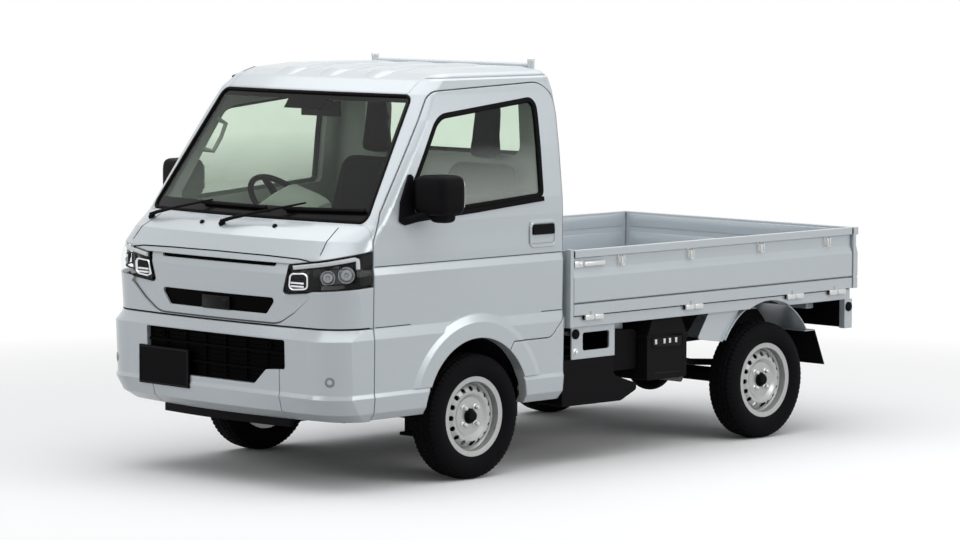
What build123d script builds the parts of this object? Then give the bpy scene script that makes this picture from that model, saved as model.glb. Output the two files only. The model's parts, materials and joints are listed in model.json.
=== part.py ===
from build123d import *
import math
import os

# Small cab-over pick-up truck. Millimetres; X to the truck's left, Y to the rear, Z up, ground at zero.
LENGTH = 3395
WHEELBASE = 1905
FRONT_OVERHANG = 850
FRONT_AXLE = -LENGTH / 2 + FRONT_OVERHANG
TRACK_HALF = 651
TYRE_R = 268
TYRE_HALF = 72.5
SIDE_X = 737

# Every y below is measured from the front axle, rearwards positive.
REAR_AXLE_Y = WHEELBASE
REAR_END_Y = LENGTH - FRONT_OVERHANG

# Heights
LIP_Z = 264
LIP_TOP_Z = 300
LIP_X = 395
BUMPER_TOP_Z = 685
COWL_Z = 1112
HEADER_Z = 1620
CANT_Z = 1698
BED_Z = 650
GATE_TOP_Z = 940

# Cab shell
WALL = 45
SKIN = 12
SHUT_GAP = 5
DOOR_FRONT_Y = -604
CAB_BACK_Y = 548
BACK_CORNER_R = 30
ROOF_SHARE = 0.6
SCREEN_BASE_Z = 1108
SCREEN_TOP_Z = 1635

# height, nose y, corner start y, corner start x, corner end y, side x, back y
LOWER_ROWS = [
    (300, -802, -750, 570, -645, 702, 540),
    (335, -838, -805, 570, -690, 725, 548),
    (400, -846, -834, 565, -735, 732, 548),
    (418, -842, -828, 565, -728, 727, 548),
    (640, -847, -834, 560, -740, 730, 548),
    (685, -841, -808, 580, -663, 722, 548),
    (905, -842, -818, 560, -705, 726, 548),
    (935, -838, -813, 560, -700, 720, 548),
    (975, -826, -796, 565, -675, 721, 548),
    (1045, -780, -735, 590, -580, 720, 548),
    (1085, -716, -655, 630, -560, 721, 548),
    (SCREEN_BASE_Z, -668, -608, 664, -540, 722, 548),
]
# height, side x; the rest runs straight from screen base to screen top
GLASS_ROWS = [(1180, 719), (1400, 696), (1530, 678)]
ROOF_ROWS = [
    (SCREEN_TOP_Z, -285, -250, 584, -180, 652, 548),
    (1690, -215, -180, 566, -110, 630, 545),
    (1718, -130, -100, 530, -30, 598, 530),
    (1736, 30, 50, 470, 110, 540, 470),
]

# Door and window outlines in side view: y, z, corner radius
DOOR_OUTLINE = [
    (-604, 305, 0), (-604, 1040, 60), (-545, 1160, 60), (-206, 1645, 90), (528, 1672, 105),
    (528, 655, 60), (450, 576, 50), (212, 576, 12), (150, 480, 0), (-200, 305, 0),
]
WINDOW_OUTLINE = [(-455, 1128, 30), (-195, 1545, 110), (415, 1606, 35), (412, 1184, 25)]
# Front view: x, z, corner radius
SCREEN_OUTLINE = [(-675, COWL_Z, 30), (675, COWL_Z, 30), (590, 1630, 40), (-590, 1630, 40)]
REAR_GLASS_OUTLINE = [(-490, 1345, 45), (490, 1345, 45), (475, 1600, 45), (-475, 1600, 45)]
LOWER_GRILLE_OUTLINE = [
    (-434, 634, 10), (434, 634, 10), (434, 513, 12), (322, 505, 12), (250, 440, 15),
    (-250, 440, 15), (-322, 505, 12), (-434, 513, 12),
]
# Shallow recess of the nose between the lamps
RECESS_OUTLINE = [
    (-560, 815, 0), (-472, 745, 100), (-376, 690, 150), (376, 690, 150), (472, 745, 100), (560, 815, 0),
    (450, 950, 0), (-450, 950, 0),
]
SLOT_OUTLINE = [(-362, 803, 14), (362, 803, 14), (305, 733, 18), (-305, 733, 18)]
SLIT_OUTLINE = [(-366, 950, 6), (366, 950, 6), (350, 934, 6), (-350, 934, 6)]
# Seen square to the front corner: distance along the corner plane, z, radius
LAMP_OUTLINE = [
    (-297, 820, 14), (-190, 832, 20), (-170, 840, 20), (97, 858, 0), (97, 1010, 0), (-268, 948, 14),
]

# Upright seams of the bumper
SEAM_X = 400

ARCH_Z = 300
ARCH_R = 305
FLARE_R = 408


def place(y):
    return FRONT_AXLE + y


def box(x0, x1, y0, y1, z0, z1):
    return Pos((x0 + x1) / 2, place((y0 + y1) / 2), (z0 + z1) / 2) * Box(x1 - x0, y1 - y0, z1 - z0)


def outline_face(plane, points, grow=0):
    corners = [(p[0], p[1]) for p in points]
    radii = [p[2] if len(p) > 2 else 0 for p in points]
    if any(radii):
        wire = FilletPolyline(*corners, radius=radii, close=True).wire()
    else:
        wire = Wire.make_polygon([Vector(*c, 0) for c in corners], close=True)
    if grow:
        wire = wire.offset_2d(grow)
    return plane * Face(wire)


def side_prism(points, x0, x1, grow=0):
    plane = Plane(origin=(x0, FRONT_AXLE, 0), x_dir=(0, 1, 0), z_dir=(1, 0, 0))
    return Solid.extrude(outline_face(plane, points, grow), Vector(x1 - x0, 0, 0))


def front_prism(points, y0, y1, grow=0):
    plane = Plane(origin=(0, place(y0), 0), x_dir=(1, 0, 0), z_dir=(0, -1, 0))
    return Solid.extrude(outline_face(plane, points, grow), Vector(0, y1 - y0, 0))


def plan_prism(points, z0, z1):
    plane = Plane(origin=(0, FRONT_AXLE, z0), x_dir=(1, 0, 0), z_dir=(0, 0, 1))
    return Solid.extrude(outline_face(plane, points), Vector(0, 0, z1 - z0))


def turned(points, x, y, z):
    """Closed (x, radius) profile turned about a sideways line."""
    face = Face(Wire.make_polygon([Vector(a, 0, r) for a, r in points], close=True))
    return Pos(x, place(y), z) * revolve(face, Axis.X, 360)


def tube(start, end, radius):
    a = Vector(start[0], place(start[1]), start[2])
    b = Vector(end[0], place(end[1]), end[2])
    return Solid.make_cylinder(radius, (b - a).length, Plane(origin=a, z_dir=b - a))


def pipe(points, radius):
    solid = tube(points[0], points[1], radius)
    for a, b in zip(points[1:], points[2:]):
        knee = Pos(a[0], place(a[1]), a[2]) * Sphere(radius)
        solid = solid + knee + tube(a, b, radius)
    return solid


def fused(pieces):
    return pieces[0].fuse(*pieces[1:]) if len(pieces) > 1 else pieces[0]


def mirrored(shape):
    return mirror(shape, about=Plane.YZ)


def both(shape):
    return Compound(list(shape.solids()) + list(mirrored(shape).solids()))


def save(name, shape):
    export_step(Compound(shape.solids()), f"parts/{name}.step")


os.makedirs("parts", exist_ok=True)


# Cab shell: plan sections stacked in height
def cab_rows():
    base, top = LOWER_ROWS[-1], ROOF_ROWS[0]
    middle = []
    for height, side_x in GLASS_ROWS:
        share = (height - base[0]) / (top[0] - base[0])
        row = [a + (b - a) * share for a, b in zip(base, top)]
        row[5] = side_x
        middle.append(tuple(row))
    return LOWER_ROWS + middle + ROOF_ROWS


def cab_section(row, inset):
    z, nose_y, edge_y, edge_x, turn_y, side_x, back_y = row
    if z > SCREEN_TOP_Z:
        z -= inset * ROOF_SHARE * (z - SCREEN_TOP_Z) / (ROOF_ROWS[-1][0] - SCREEN_TOP_Z)
    nose_y, edge_y, turn_y = nose_y + inset, edge_y + inset, turn_y + inset * 0.4
    edge_x, side_x, back_y = edge_x - inset * 0.4, side_x - inset, back_y - inset
    nose_y, edge_y, turn_y, back_y = (place(v) for v in (nose_y, edge_y, turn_y, back_y))
    slope = 2 * (edge_y - nose_y) / edge_x
    tip = Vector(side_x, edge_y + slope * (side_x - edge_x), z)
    edge, turn = Vector(edge_x, edge_y, z), Vector(side_x, turn_y, z)
    middle = (edge + turn) * 0.293 + tip * 0.414
    r = max(BACK_CORNER_R - inset / 2, 4)
    bend = r * (1 - math.sqrt(0.5))
    back_a, back_b = Vector(side_x, back_y - r, z), Vector(side_x - r, back_y, z)
    back_m = Vector(side_x - bend, back_y - bend, z)

    def flip(v):
        return Vector(-v.X, v.Y, v.Z)

    return Wire([
        Edge.make_three_point_arc(flip(edge), Vector(0, nose_y, z), edge),
        Edge.make_three_point_arc(edge, middle, turn),
        Edge.make_line(turn, back_a),
        Edge.make_three_point_arc(back_a, back_m, back_b),
        Edge.make_line(back_b, flip(back_b)),
        Edge.make_three_point_arc(flip(back_b), flip(back_m), flip(back_a)),
        Edge.make_line(flip(back_a), flip(turn)),
        Edge.make_three_point_arc(flip(turn), flip(middle), flip(edge)),
    ])


def cab_body(inset):
    sections = [cab_section(row, inset) for row in cab_rows()]
    if inset:
        low = LOWER_ROWS[0]
        sections.insert(0, cab_section((low[0] - 40,) + low[1:], inset))
    return Solid.make_loft(sections, ruled=True)


outer = cab_body(0)
inner = cab_body(WALL)
mid = cab_body(SKIN)
shell = outer - inner
skin = outer - mid
lining = mid - inner

# Raised lip round the front wheel opening
flare = turned([(686, ARCH_R), (SIDE_X, ARCH_R), (SIDE_X, 372), (726, FLARE_R), (686, FLARE_R)], 0, 0, ARCH_Z)
flare = flare & box(600, 800, -420, 420, 418, 800)
arch_hole = turned([(400, 0), (900, 0), (900, ARCH_R), (400, ARCH_R)], 0, 0, ARCH_Z)

# Doors
door_skin = (skin + flare) & side_prism(DOOR_OUTLINE, 500, 800)
door_core = lining & side_prism(DOOR_OUTLINE, 500, 800, -18)
window_hole = side_prism(WINDOW_OUTLINE, 500, 800)
door = door_skin + door_core - arch_hole - window_hole
handle = side_prism([(322, 985, 12), (470, 985, 12), (470, 1085, 12), (322, 1085, 12)], 708, 724)
door = door + handle
door_glass = (cab_body(10) - cab_body(15)) & window_hole
MIRROR_PLAN = [(722, -402, 22), (885, -368, 38), (905, -240, 24), (740, -225, 24)]
MIRROR_Z0, MIRROR_Z1 = 1142, 1312
mirror_shell = plan_prism(MIRROR_PLAN, MIRROR_Z0, MIRROR_Z1)
mirror_rims = mirror_shell.faces().sort_by(Axis.Z)
mirror_shell = fillet(mirror_rims[0].edges() + mirror_rims[-1].edges(), 18)
mirror_stalk = tube((700, -432, 1122), (775, -372, 1162), 15)
door_mirror = mirror_shell + (mirror_stalk - outer)
for side in ("left", "right"):
    turn = (lambda s: s) if side == "left" else mirrored
    save(f"door_{side}", turn(door))
    save(f"door_glass_{side}", turn(door_glass))
    save(f"mirror_{side}", turn(door_mirror))

# Fixed cab panels
door_hole = side_prism(DOOR_OUTLINE, 500, 800, SHUT_GAP)
door_holes = door_hole + mirrored(door_hole)
screen_hole = front_prism(SCREEN_OUTLINE, -720, -180)
front_edge_y = DOOR_FRONT_Y - SHUT_GAP
front_zone = box(-800, 800, -900, front_edge_y, 200, COWL_Z)
roof_zone = box(-800, 800, -900, 900, CANT_Z, 1800) + box(-560, 560, -400, -60, HEADER_Z, CANT_Z + 1)
back_zone = box(-655, 655, CAB_BACK_Y - WALL - 1, 560, 430, CANT_Z) - door_holes
under_zone = box(-655, 655, 300, 560, 200, 430)

lamp_plane = Plane(origin=(0, FRONT_AXLE, 0), x_dir=(1, 1, 0), z_dir=(1, -1, 0))
lamp_plane = lamp_plane.offset(700)


def lamp_prism(grow):
    return Solid.extrude(outline_face(lamp_plane, LAMP_OUTLINE, grow), lamp_plane.z_dir * 600)


lamp_hole = lamp_prism(0)
lamp = (cab_body(3) - cab_body(40)) & lamp_hole & front_zone
grille_hole = front_prism(LOWER_GRILLE_OUTLINE, -900, -700)
slot_hole = front_prism(SLOT_OUTLINE, -900, -700)
slit_hole = front_prism(SLIT_OUTLINE, -900, -700)

bumper = shell & box(-800, 800, -900, front_edge_y, LIP_TOP_Z, BUMPER_TOP_Z)
bumper = bumper - grille_hole
for x in (-SEAM_X, SEAM_X):
    bumper = bumper - (skin & box(x - 2, x + 2, -900, -700, LIP_TOP_Z, 512))
lip = (cab_body(6) - cab_body(30)) & box(-LIP_X, LIP_X, -900, front_edge_y, LIP_Z, LIP_TOP_Z)
nose = shell & box(-800, 800, -900, front_edge_y, BUMPER_TOP_Z + 3, COWL_Z)
nose = nose - lamp_hole - mirrored(lamp_hole) - slot_hole - slit_hole
nose = nose - (skin & front_prism(RECESS_OUTLINE, -900, -700))
grille_layer = cab_body(22) - cab_body(36)
grille = []
for hole in (grille_hole, slot_hole, slit_hole):
    grille += (grille_layer & hole).solids()
save("front_bumper", bumper)
save("chin_lip", lip)
save("nose_panel", nose)
save("headlamps", both(lamp))
save("front_grille", Compound(grille))

sides = shell + flare + mirrored(flare)
sides = sides - door_holes - screen_hole - front_zone - roof_zone - back_zone - under_zone
sides = sides - arch_hole - mirrored(arch_hole) - box(-560, 560, -900, 600, 200, 1800)
sides = sides - box(-800, 800, -640, -560, 200, 320)
save("cab_sides", sides)
save("roof_panel", (shell & roof_zone) - screen_hole)
rear_hole = front_prism(REAR_GLASS_OUTLINE, 480, 600)
save("cab_rear_wall", (shell & back_zone) - rear_hole)
glass_layer = cab_body(8) - cab_body(14)
save("windscreen", glass_layer & screen_hole)
save("rear_window", glass_layer & rear_hole)

# Ladder frame and cab floor
RAIL_IN, RAIL_OUT = 315, 375
FLOOR_X = 668
RAIL_SIDE = [
    (-725, 320), (1350, 320), (1600, 430), (2480, 440), (2480, 560), (1560, 560), (1290, 420), (-725, 420),
]
frame = [side_prism(RAIL_SIDE, RAIL_IN, RAIL_OUT), side_prism(RAIL_SIDE, -RAIL_OUT, -RAIL_IN)]
# y start, y end, z bottom, z top of each cross member
CROSS_MEMBERS = [(-720, -680, 335, 405), (860, 910, 335, 405), (1420, 1470, 400, 440), (2440, 2480, 470, 550)]
for y0, y1, z0, z1 in CROSS_MEMBERS:
    frame.append(box(-RAIL_IN - 5, RAIL_IN + 5, y0, y1, z0, z1))
frame.append(box(-690, 690, 2480, 2500, 470, 604))
TOW_R = 16
TOW_X, TOW_Y, TOW_Z = 345, -420, 272
frame.append(Pos(TOW_X, place(TOW_Y), TOW_Z) * Rot(0, 90, 0) * Cylinder(28, 16))
frame.append(box(TOW_X - 8, TOW_X + 8, TOW_Y - 18, TOW_Y + 18, 280, 330))
ladder_frame = fused(frame) - tube((TOW_X - 20, TOW_Y, TOW_Z), (TOW_X + 20, TOW_Y, TOW_Z), TOW_R)

cab_space = cab_body(WALL + 1)
floor = fused([
    box(-FLOOR_X, FLOOR_X, -800, -322, 420, 440),
    box(-FLOOR_X, FLOOR_X, -342, -322, 420, 650),
    box(-FLOOR_X, FLOOR_X, -330, 520, 630, 650),
]) & inner
save("ladder_frame", ladder_frame)
save("cab_floor", floor)

# Dashboard and steering column; the column rises towards the driver on the right
WHEEL_X, WHEEL_Y, WHEEL_Z = -340, -126, 1110
COLUMN_TILT = math.radians(40)
STEER_SHAFT_R = 12
RUN_GAP = 0.05


def on_column(distance, x=WHEEL_X):
    return (x, WHEEL_Y - distance * math.cos(COLUMN_TILT), WHEEL_Z - distance * math.sin(COLUMN_TILT))


dash = side_prism([(-800, 985, 0), (-640, 1088, 0), (-430, 1088, 40), (-375, 1010, 40), (-400, 860, 30),
                   (-560, 790, 20), (-800, 790, 0)], -640, 640) & cab_space
dash = dash + tube(on_column(45), on_column(430), 30)
dash = dash - tube(on_column(30), on_column(95), STEER_SHAFT_R + RUN_GAP)
save("dashboard", dash)

column_plane = Plane(origin=(WHEEL_X, place(WHEEL_Y), WHEEL_Z), x_dir=(1, 0, 0),
                     z_dir=(0, math.cos(COLUMN_TILT), math.sin(COLUMN_TILT)))
hand_wheel = Torus(178, 13) + Pos(0, 0, -5) * Cylinder(62, 40)
for angle in (0, 180, 270):
    hand_wheel = hand_wheel + Rot(0, 0, angle) * Pos(110, 0, -3) * Box(130, 34, 14)
hand_wheel = hand_wheel + Pos(0, 0, -56) * Cylinder(STEER_SHAFT_R, 70)
save("steering_wheel", column_plane * hand_wheel)

# Seats: cushion, back and headrest for driver and passenger
CUSHION_SIDE = [(-180, 650, 0), (-200, 740, 40), (275, 715, 0), (275, 650, 0)]
BACKREST_SIDE = [(236, 700, 10), (330, 700, 30), (478, 1325, 30), (398, 1335, 34)]
HEADREST_SIDE = [(400, 1310, 0), (470, 1305, 0), (490, 1585, 26), (424, 1590, 26)]
SEAT_X = 340
seats = []
for x in (-SEAT_X, SEAT_X):
    cushion = side_prism(CUSHION_SIDE, x - 240, x + 240)
    back = side_prism(BACKREST_SIDE, x - 235, x + 235)
    head = side_prism(HEADREST_SIDE, x - 80, x + 80)
    seats += fused([cushion, back, head]).solids()
save("seats", Compound(seats))

# Bed: floor with side rails and cross sills
GATE_IN = 705
SILL_X = 722
bed = [box(-SILL_X, SILL_X, 590, 2500, 625, BED_Z)]
rear_notch = turned([(400, 0), (800, 0), (800, 335), (400, 335)], 0, REAR_AXLE_Y + 15, 300)
for x0, x1 in ((660, SILL_X), (-SILL_X, -660)):
    bed.append(box(x0, x1, 590, 2500, 604, BED_Z))
for y in (620, 1000, 1380, 2330):
    bed.append(box(-600, 600, y, y + 50, 560, 626))
for y in (1700, 2140):
    bed.append(box(-430, 430, y, y + 50, 560, 626))
bed = fused(bed) - rear_notch - mirrored(rear_notch)

# Gate hinges: pin and ears on the bed, barrel on the gate
PIN_R = 3.5
BARREL_R = 6.5
HINGE_X, HINGE_Z = 734, 640
TAIL_HINGE_Y = REAR_END_Y - BARREL_R
TAIL_IN_Y = REAR_END_Y - 35
SIDE_HINGES_Y = (717, 1378, 2085, 2392)
TAIL_HINGES_X = (-560, 0, 560)
side_gate_profile = [
    (GATE_IN, 655), (732, 655), (732, 702), (727, 705), (727, 710), (732, 713), (732, 820), (719, 856),
    (719, 904), (735, 908), (735, GATE_TOP_Z), (GATE_IN, GATE_TOP_Z),
]
bed_ears, side_gate = [], [front_prism(side_gate_profile, 592, TAIL_IN_Y - 7)]
for y in SIDE_HINGES_Y:
    bed_ears.append(tube((HINGE_X, y - 30, HINGE_Z), (HINGE_X, y + 30, HINGE_Z), PIN_R))
    for a, b in ((-30, -24), (24, 30)):
        bed_ears.append(box(SILL_X - 2, HINGE_X + 3, y + a, y + b, HINGE_Z - 7, HINGE_Z + 7))
    barrel = tube((HINGE_X, y - 20, HINGE_Z), (HINGE_X, y + 20, HINGE_Z), BARREL_R)
    strap = box(729, 737, y - 20, y + 20, HINGE_Z, 672)
    bore = tube((HINGE_X, y - 40, HINGE_Z), (HINGE_X, y + 40, HINGE_Z), PIN_R + RUN_GAP)
    side_gate.append((barrel + strap) - bore)
side_gate = fused(side_gate)
side_ears = fused(bed_ears)
# depth from the inner face, z
TAIL_PROFILE = [
    (0, 655), (30, 655), (30, 702), (25, 705), (25, 710), (30, 713), (30, 820), (17, 856),
    (17, 904), (33, 908), (33, GATE_TOP_Z), (0, GATE_TOP_Z),
]
tail_profile = [(TAIL_IN_Y + depth, z) for depth, z in TAIL_PROFILE]
tail_gate, tail_ears = [side_prism(tail_profile, -735, 735)], []
for x in TAIL_HINGES_X:
    tail_ears.append(tube((x - 30, TAIL_HINGE_Y, HINGE_Z), (x + 30, TAIL_HINGE_Y, HINGE_Z), PIN_R))
    for a, b in ((-30, -24), (24, 30)):
        tail_ears.append(box(x + a, x + b, 2495, TAIL_HINGE_Y + 4, HINGE_Z - 7, HINGE_Z + 7))
    barrel = tube((x - 20, TAIL_HINGE_Y, HINGE_Z), (x + 20, TAIL_HINGE_Y, HINGE_Z), BARREL_R)
    strap = box(x - 20, x + 20, TAIL_HINGE_Y - 5, TAIL_HINGE_Y + 3, HINGE_Z, 672)
    bore = tube((x - 40, TAIL_HINGE_Y, HINGE_Z), (x + 40, TAIL_HINGE_Y, HINGE_Z), PIN_R + RUN_GAP)
    tail_gate.append((barrel + strap) - bore)
bed = bed.fuse(*side_ears.solids(), *mirrored(side_ears).solids(), *fused(tail_ears).solids())
save("bed_floor", bed)
save("side_gate_left", side_gate)
save("side_gate_right", mirrored(side_gate))
save("tail_gate", fused(tail_gate))

# Guard frame behind the cab: low panel, two posts and two bars
POST_X, POST_Y, POST_R = 488, 571, 15
POST_TOP_Z = 1765
guard = [box(-708, 708, 567, 575, BED_Z, GATE_TOP_Z)]
guard.append(box(-702, 702, 560, 590, 604, BED_Z))
for x0, x1 in ((705, 735), (-735, -705)):
    guard.append(box(x0, x1, 566, 586, 604, GATE_TOP_Z + 5))
for x in (-POST_X, POST_X):
    guard.append(tube((x, POST_Y, BED_Z), (x, POST_Y, POST_TOP_Z), POST_R))
for z in (1250, 1735):
    guard.append(tube((-POST_X, POST_Y, z), (POST_X, POST_Y, z), POST_R - 3))
save("guard_frame", fused(guard) - bed)

# Rear posts, lamps, fenders and mud flaps
post = box(690, SILL_X, 2464, 2518, 467, 604) - ladder_frame
save("bed_rear_posts", both(post))
save("rear_lamps", both(box(470, 650, 2500, 2523, 505, 590)))
FENDER_Y, FENDER_Z, FENDER_R = REAR_AXLE_Y + 15, 300, 335
FLAP_TOP_Z = 475


def about_rear_wheel(x0, x1, r0, r1):
    return turned([(x0, r0), (x1, r0), (x1, r1), (x0, r1)], 0, FENDER_Y, FENDER_Z)


fender = about_rear_wheel(470, 706, FENDER_R, FENDER_R + 4)
fender = fender & (box(400, 800, 1500, 2300, 471, 604) - box(400, 800, 1600, 2230, 400, 471))
fender_plate = side_prism([(1454, 487, 10), (1531, 604, 0), (1745, 604, 0), (1630, 463, 0)], 684, 690)
fender_plate = fender_plate - about_rear_wheel(600, 800, 0, FENDER_R)
fender = fender + fender_plate + box(544, 705, 2195, 2268, FLAP_TOP_Z - 4, FLAP_TOP_Z)
save("rear_fenders", both(fender - bed))
flap = side_prism([(2262, 471), (2268, 471), (2340, 306), (2334, 306)], 544, 705)
save("mudflaps", both(flap))


# Road wheels: pressed steel rim and tyre, turned about the axle line
HUB_R = 14
RIM_BARREL = [
    (-57, 171), (-53, 171), (-50, 153), (-25, 153), (-15, 138), (10, 138), (22, 153), (50, 153), (53, 171),
    (57, 171), (54, 148.5), (20, 148.5), (8, 133), (-17, 133), (-27, 148.5), (-54, 148.5),
]
RIM_DISC = [
    (-2, 134), (8, 134), (30, 128), (42, 112), (40, 96), (30, 80), (30, HUB_R + RUN_GAP),
    (-20, HUB_R + RUN_GAP), (-20, 30), (24, 30), (24, 82), (34, 98), (36, 110), (26, 123), (-2, 128),
]
TYRE_PROFILE = [
    (-49, 153.3), (49, 153.3), (51.5, 171.4), (58, 172.5), (67, 186), (TYRE_HALF, 212), (70, 236),
    (61, 256), (52, 263), (30, 267), (0, TYRE_R), (-30, 267), (-52, 263), (-61, 256), (-70, 236),
    (-TYRE_HALF, 212), (-67, 186), (-58, 172.5), (-51.5, 171.4),
]
VENT_COUNT, VENT_R, VENT_CIRCLE_R = 16, 11, 118

rim = turned(RIM_BARREL, 0, 0, 0) + turned(RIM_DISC, 0, 0, 0)
for i in range(VENT_COUNT):
    angle = 2 * math.pi * i / VENT_COUNT
    y, z = VENT_CIRCLE_R * math.cos(angle), VENT_CIRCLE_R * math.sin(angle)
    rim = rim - tube((0, y, z), (60, y, z), VENT_R)
tyre = turned(TYRE_PROFILE, 0, 0, 0)
for name, y in (("front", 0), ("rear", REAR_AXLE_Y)):
    for side in ("left", "right"):
        for kind, shape in (("rim", rim), ("tyre", tyre)):
            placed = Pos(TRACK_HALF, y, TYRE_R) * shape
            save(f"{kind}_{name}_{side}", placed if side == "left" else mirrored(placed))
lay_flat = Pos(0, place(2165), 480) * Rot(0, 90, 0) * Pos(0, -FRONT_AXLE, 0)
save("spare_tyre", lay_flat * tyre)
save("spare_rim", (lay_flat * rim) + tube((0, 2165, 440), (0, 2165, 560), HUB_R + 1))

# Steering knuckles with strut and spring; the wheels swing about a leaning line
BALL_X, BALL_Z = 598, 190
STRUT_TOP_X, STRUT_TOP_Z = 520, 606
knuckle = fused([
    tube((560, 0, TYRE_R), (TRACK_HALF + 29, 0, TYRE_R), HUB_R),
    box(552, 588, -28, 28, 196, 340),
    box(525, 588, -22, 22, 318, 352),
    box(566, 608, -14, 14, 180, 216),
    box(548, 566, 20, 120, 215, 235),
    turned([(588, 10), (598, 10), (598, 88), (588, 88)], 0, 0, TYRE_R),
    tube((540, 0, 325), (STRUT_TOP_X, 0, STRUT_TOP_Z), 21),
    tube((530, 0, 470), (521, 0, 592), 41),
])
save("knuckle_left", knuckle)
save("knuckle_right", mirrored(knuckle))
arm = fused([
    plan_prism([(318, -60), (318, 60), (610, 18), (610, -18)], 158, 172),
    box(318, 372, -30, 30, 172, 320),
])
rack = tube((-318, 40, 232), (318, 40, 232), 16)
save("front_suspension", Compound(list(both(arm - rack).solids()) + list(rack.solids())))

# Linings of the front wheel openings
LINER_IN, LINER_OUT = 320, 330
liner = turned([(410, LINER_IN), (676, LINER_IN), (676, LINER_OUT), (410, LINER_OUT)], 0, 0, ARCH_Z)
liner = liner + turned([(410, 0), (418, 0), (418, LINER_OUT), (410, LINER_OUT)], 0, 0, ARCH_Z)
liner = (liner & box(400, 700, -340, 340, 430, 640)) + box(440, 645, 322, 330, 235, 432)
save("wheel_liners", both(liner - floor))

# Rear axle, springs and drive line
drum = turned([(560, 10), (622, 10), (622, 108), (560, 108)], 0, REAR_AXLE_Y, TYRE_R)
spindle = tube((600, REAR_AXLE_Y, TYRE_R), (TRACK_HALF + 29, REAR_AXLE_Y, TYRE_R), HUB_R)
half_axle = fused([tube((0, REAR_AXLE_Y, TYRE_R), (570, REAR_AXLE_Y, TYRE_R), 34), drum, spindle,
                   box(450, 510, 1865, 1945, 270, 318)])
axle = fused([half_axle, mirrored(half_axle), Pos(0, place(REAR_AXLE_Y), TYRE_R) * Sphere(105)])
axle = axle + tube((0, 801, 285), (0, 1850, TYRE_R), 26)
leaf = side_prism([(1400, 400), (1640, 342), (1905, 318), (2170, 342), (2400, 400), (2400, 424), (2170, 368),
                   (1905, 346), (1640, 368), (1400, 424)], 455, 505)
hanger = box(375, 505, 1395, 1425, 400, 440) + box(375, 505, 2375, 2405, 400, 445)
leaf = leaf + hanger
save("leaf_springs", both(leaf - ladder_frame))
engine = fused([box(-230, 230, -60, 420, 255, 600), box(-110, 110, 420, 801, 240, 425),
                box(-RAIL_IN, RAIL_IN, 150, 200, 340, 400)])
save("engine", engine)
save("rear_axle", axle - engine)
exhaust = pipe([(180, 420, 285), (190, 1080, 290), (190, 1395, 300), (260, 1490, 300), (500, 1560, 290)], 20)
exhaust = exhaust + box(100, 285, 1080, 1390, 245, 365)
save("exhaust", exhaust - engine)
tank = box(-680, -390, 1050, 1385, 255, 535)
for y in (1080, 1280):
    tank = tank + box(-391, -RAIL_OUT, y, y + 50, 340, 400)
save("fuel_tank", tank)
battery_side = [
    (1114, 327, 12), (1380, 327, 12), (1380, 520, 20), (1340, 604, 0), (1150, 604, 0), (1114, 520, 20),
]
save("battery_box", side_prism(battery_side, 430, 690))
cleaner = side_prism([(905, 380, 20), (1095, 380, 20), (1095, 560, 30), (905, 560, 30)], 470, 640)
save("air_cleaner", cleaner + box(RAIL_OUT, 471, 960, 1010, 385, 415))
side_plate = side_prism([(614, 460), (891, 460), (891, 604), (614, 604)], 690, 698)
plate_window = [(684, 495, 12), (856, 495, 12), (856, 574, 12), (684, 574, 12)]
side_plate = side_plate - side_prism(plate_window, 680, 710)
save("side_plates", both(side_plate))
cover_side = [
    (556, 258, 12), (935, 255, 40), (1037, 297, 15), (1037, 325, 10), (890, 372, 30), (872, 460, 0),
    (556, 460, 0),
]
save("side_covers", both(side_prism(cover_side, 540, 696)))

# Wipers, inside mirror and blank number plates
wipers = pipe([(-80, -672, 1108), (-30, -668, 1124), (440, -632, 1142)], 7)
wipers = wipers + pipe([(-560, -632, 1106), (-510, -636, 1122), (-60, -664, 1142)], 7)
save("wipers", wipers - outer)
inside = box(-115, 115, -232, -214, 1525, 1590) + tube((0, -226, 1560), (0, -315, 1606), 9)
save("interior_mirror", inside & cab_body(14))
plate = Pos(-316, place(-842), 467) * Rot(0, 0, -1.4) * Box(330, 8, 165)
plate = plate - outer
rear_plate = box(-165, 165, 2500, 2504, 440, 603)
save("number_plates", Compound(list(plate.solids()) + list(rear_plate.solids())))
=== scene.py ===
import json
import math
from functools import partial

import bmesh
import bpy
from mathutils import Matrix, Vector
from mathutils.bvhtree import BVHTree


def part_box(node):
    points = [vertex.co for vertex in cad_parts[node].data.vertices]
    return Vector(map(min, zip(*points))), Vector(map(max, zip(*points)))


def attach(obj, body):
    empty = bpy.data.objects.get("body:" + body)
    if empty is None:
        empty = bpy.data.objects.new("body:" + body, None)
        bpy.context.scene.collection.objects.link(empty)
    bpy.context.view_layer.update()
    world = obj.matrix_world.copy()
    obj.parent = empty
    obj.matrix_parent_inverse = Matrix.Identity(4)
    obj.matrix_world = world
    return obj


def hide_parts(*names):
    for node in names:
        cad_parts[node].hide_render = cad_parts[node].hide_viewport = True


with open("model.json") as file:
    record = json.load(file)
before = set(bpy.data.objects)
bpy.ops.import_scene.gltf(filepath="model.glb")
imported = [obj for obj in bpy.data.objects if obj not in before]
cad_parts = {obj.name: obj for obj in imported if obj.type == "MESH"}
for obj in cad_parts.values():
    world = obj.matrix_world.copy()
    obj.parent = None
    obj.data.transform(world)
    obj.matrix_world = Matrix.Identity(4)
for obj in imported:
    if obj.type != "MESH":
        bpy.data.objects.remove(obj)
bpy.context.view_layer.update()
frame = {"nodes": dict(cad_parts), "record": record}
nodes = frame["nodes"]
scene = bpy.context.scene

# Places are in millimetres: x to the truck's left, y rearwards from the front axle, z up.
MM = 0.001
SIDES = {"left": 1, "right": -1}


def middle_of(node):
    low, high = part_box(node)
    return (low + high) / 2


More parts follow.
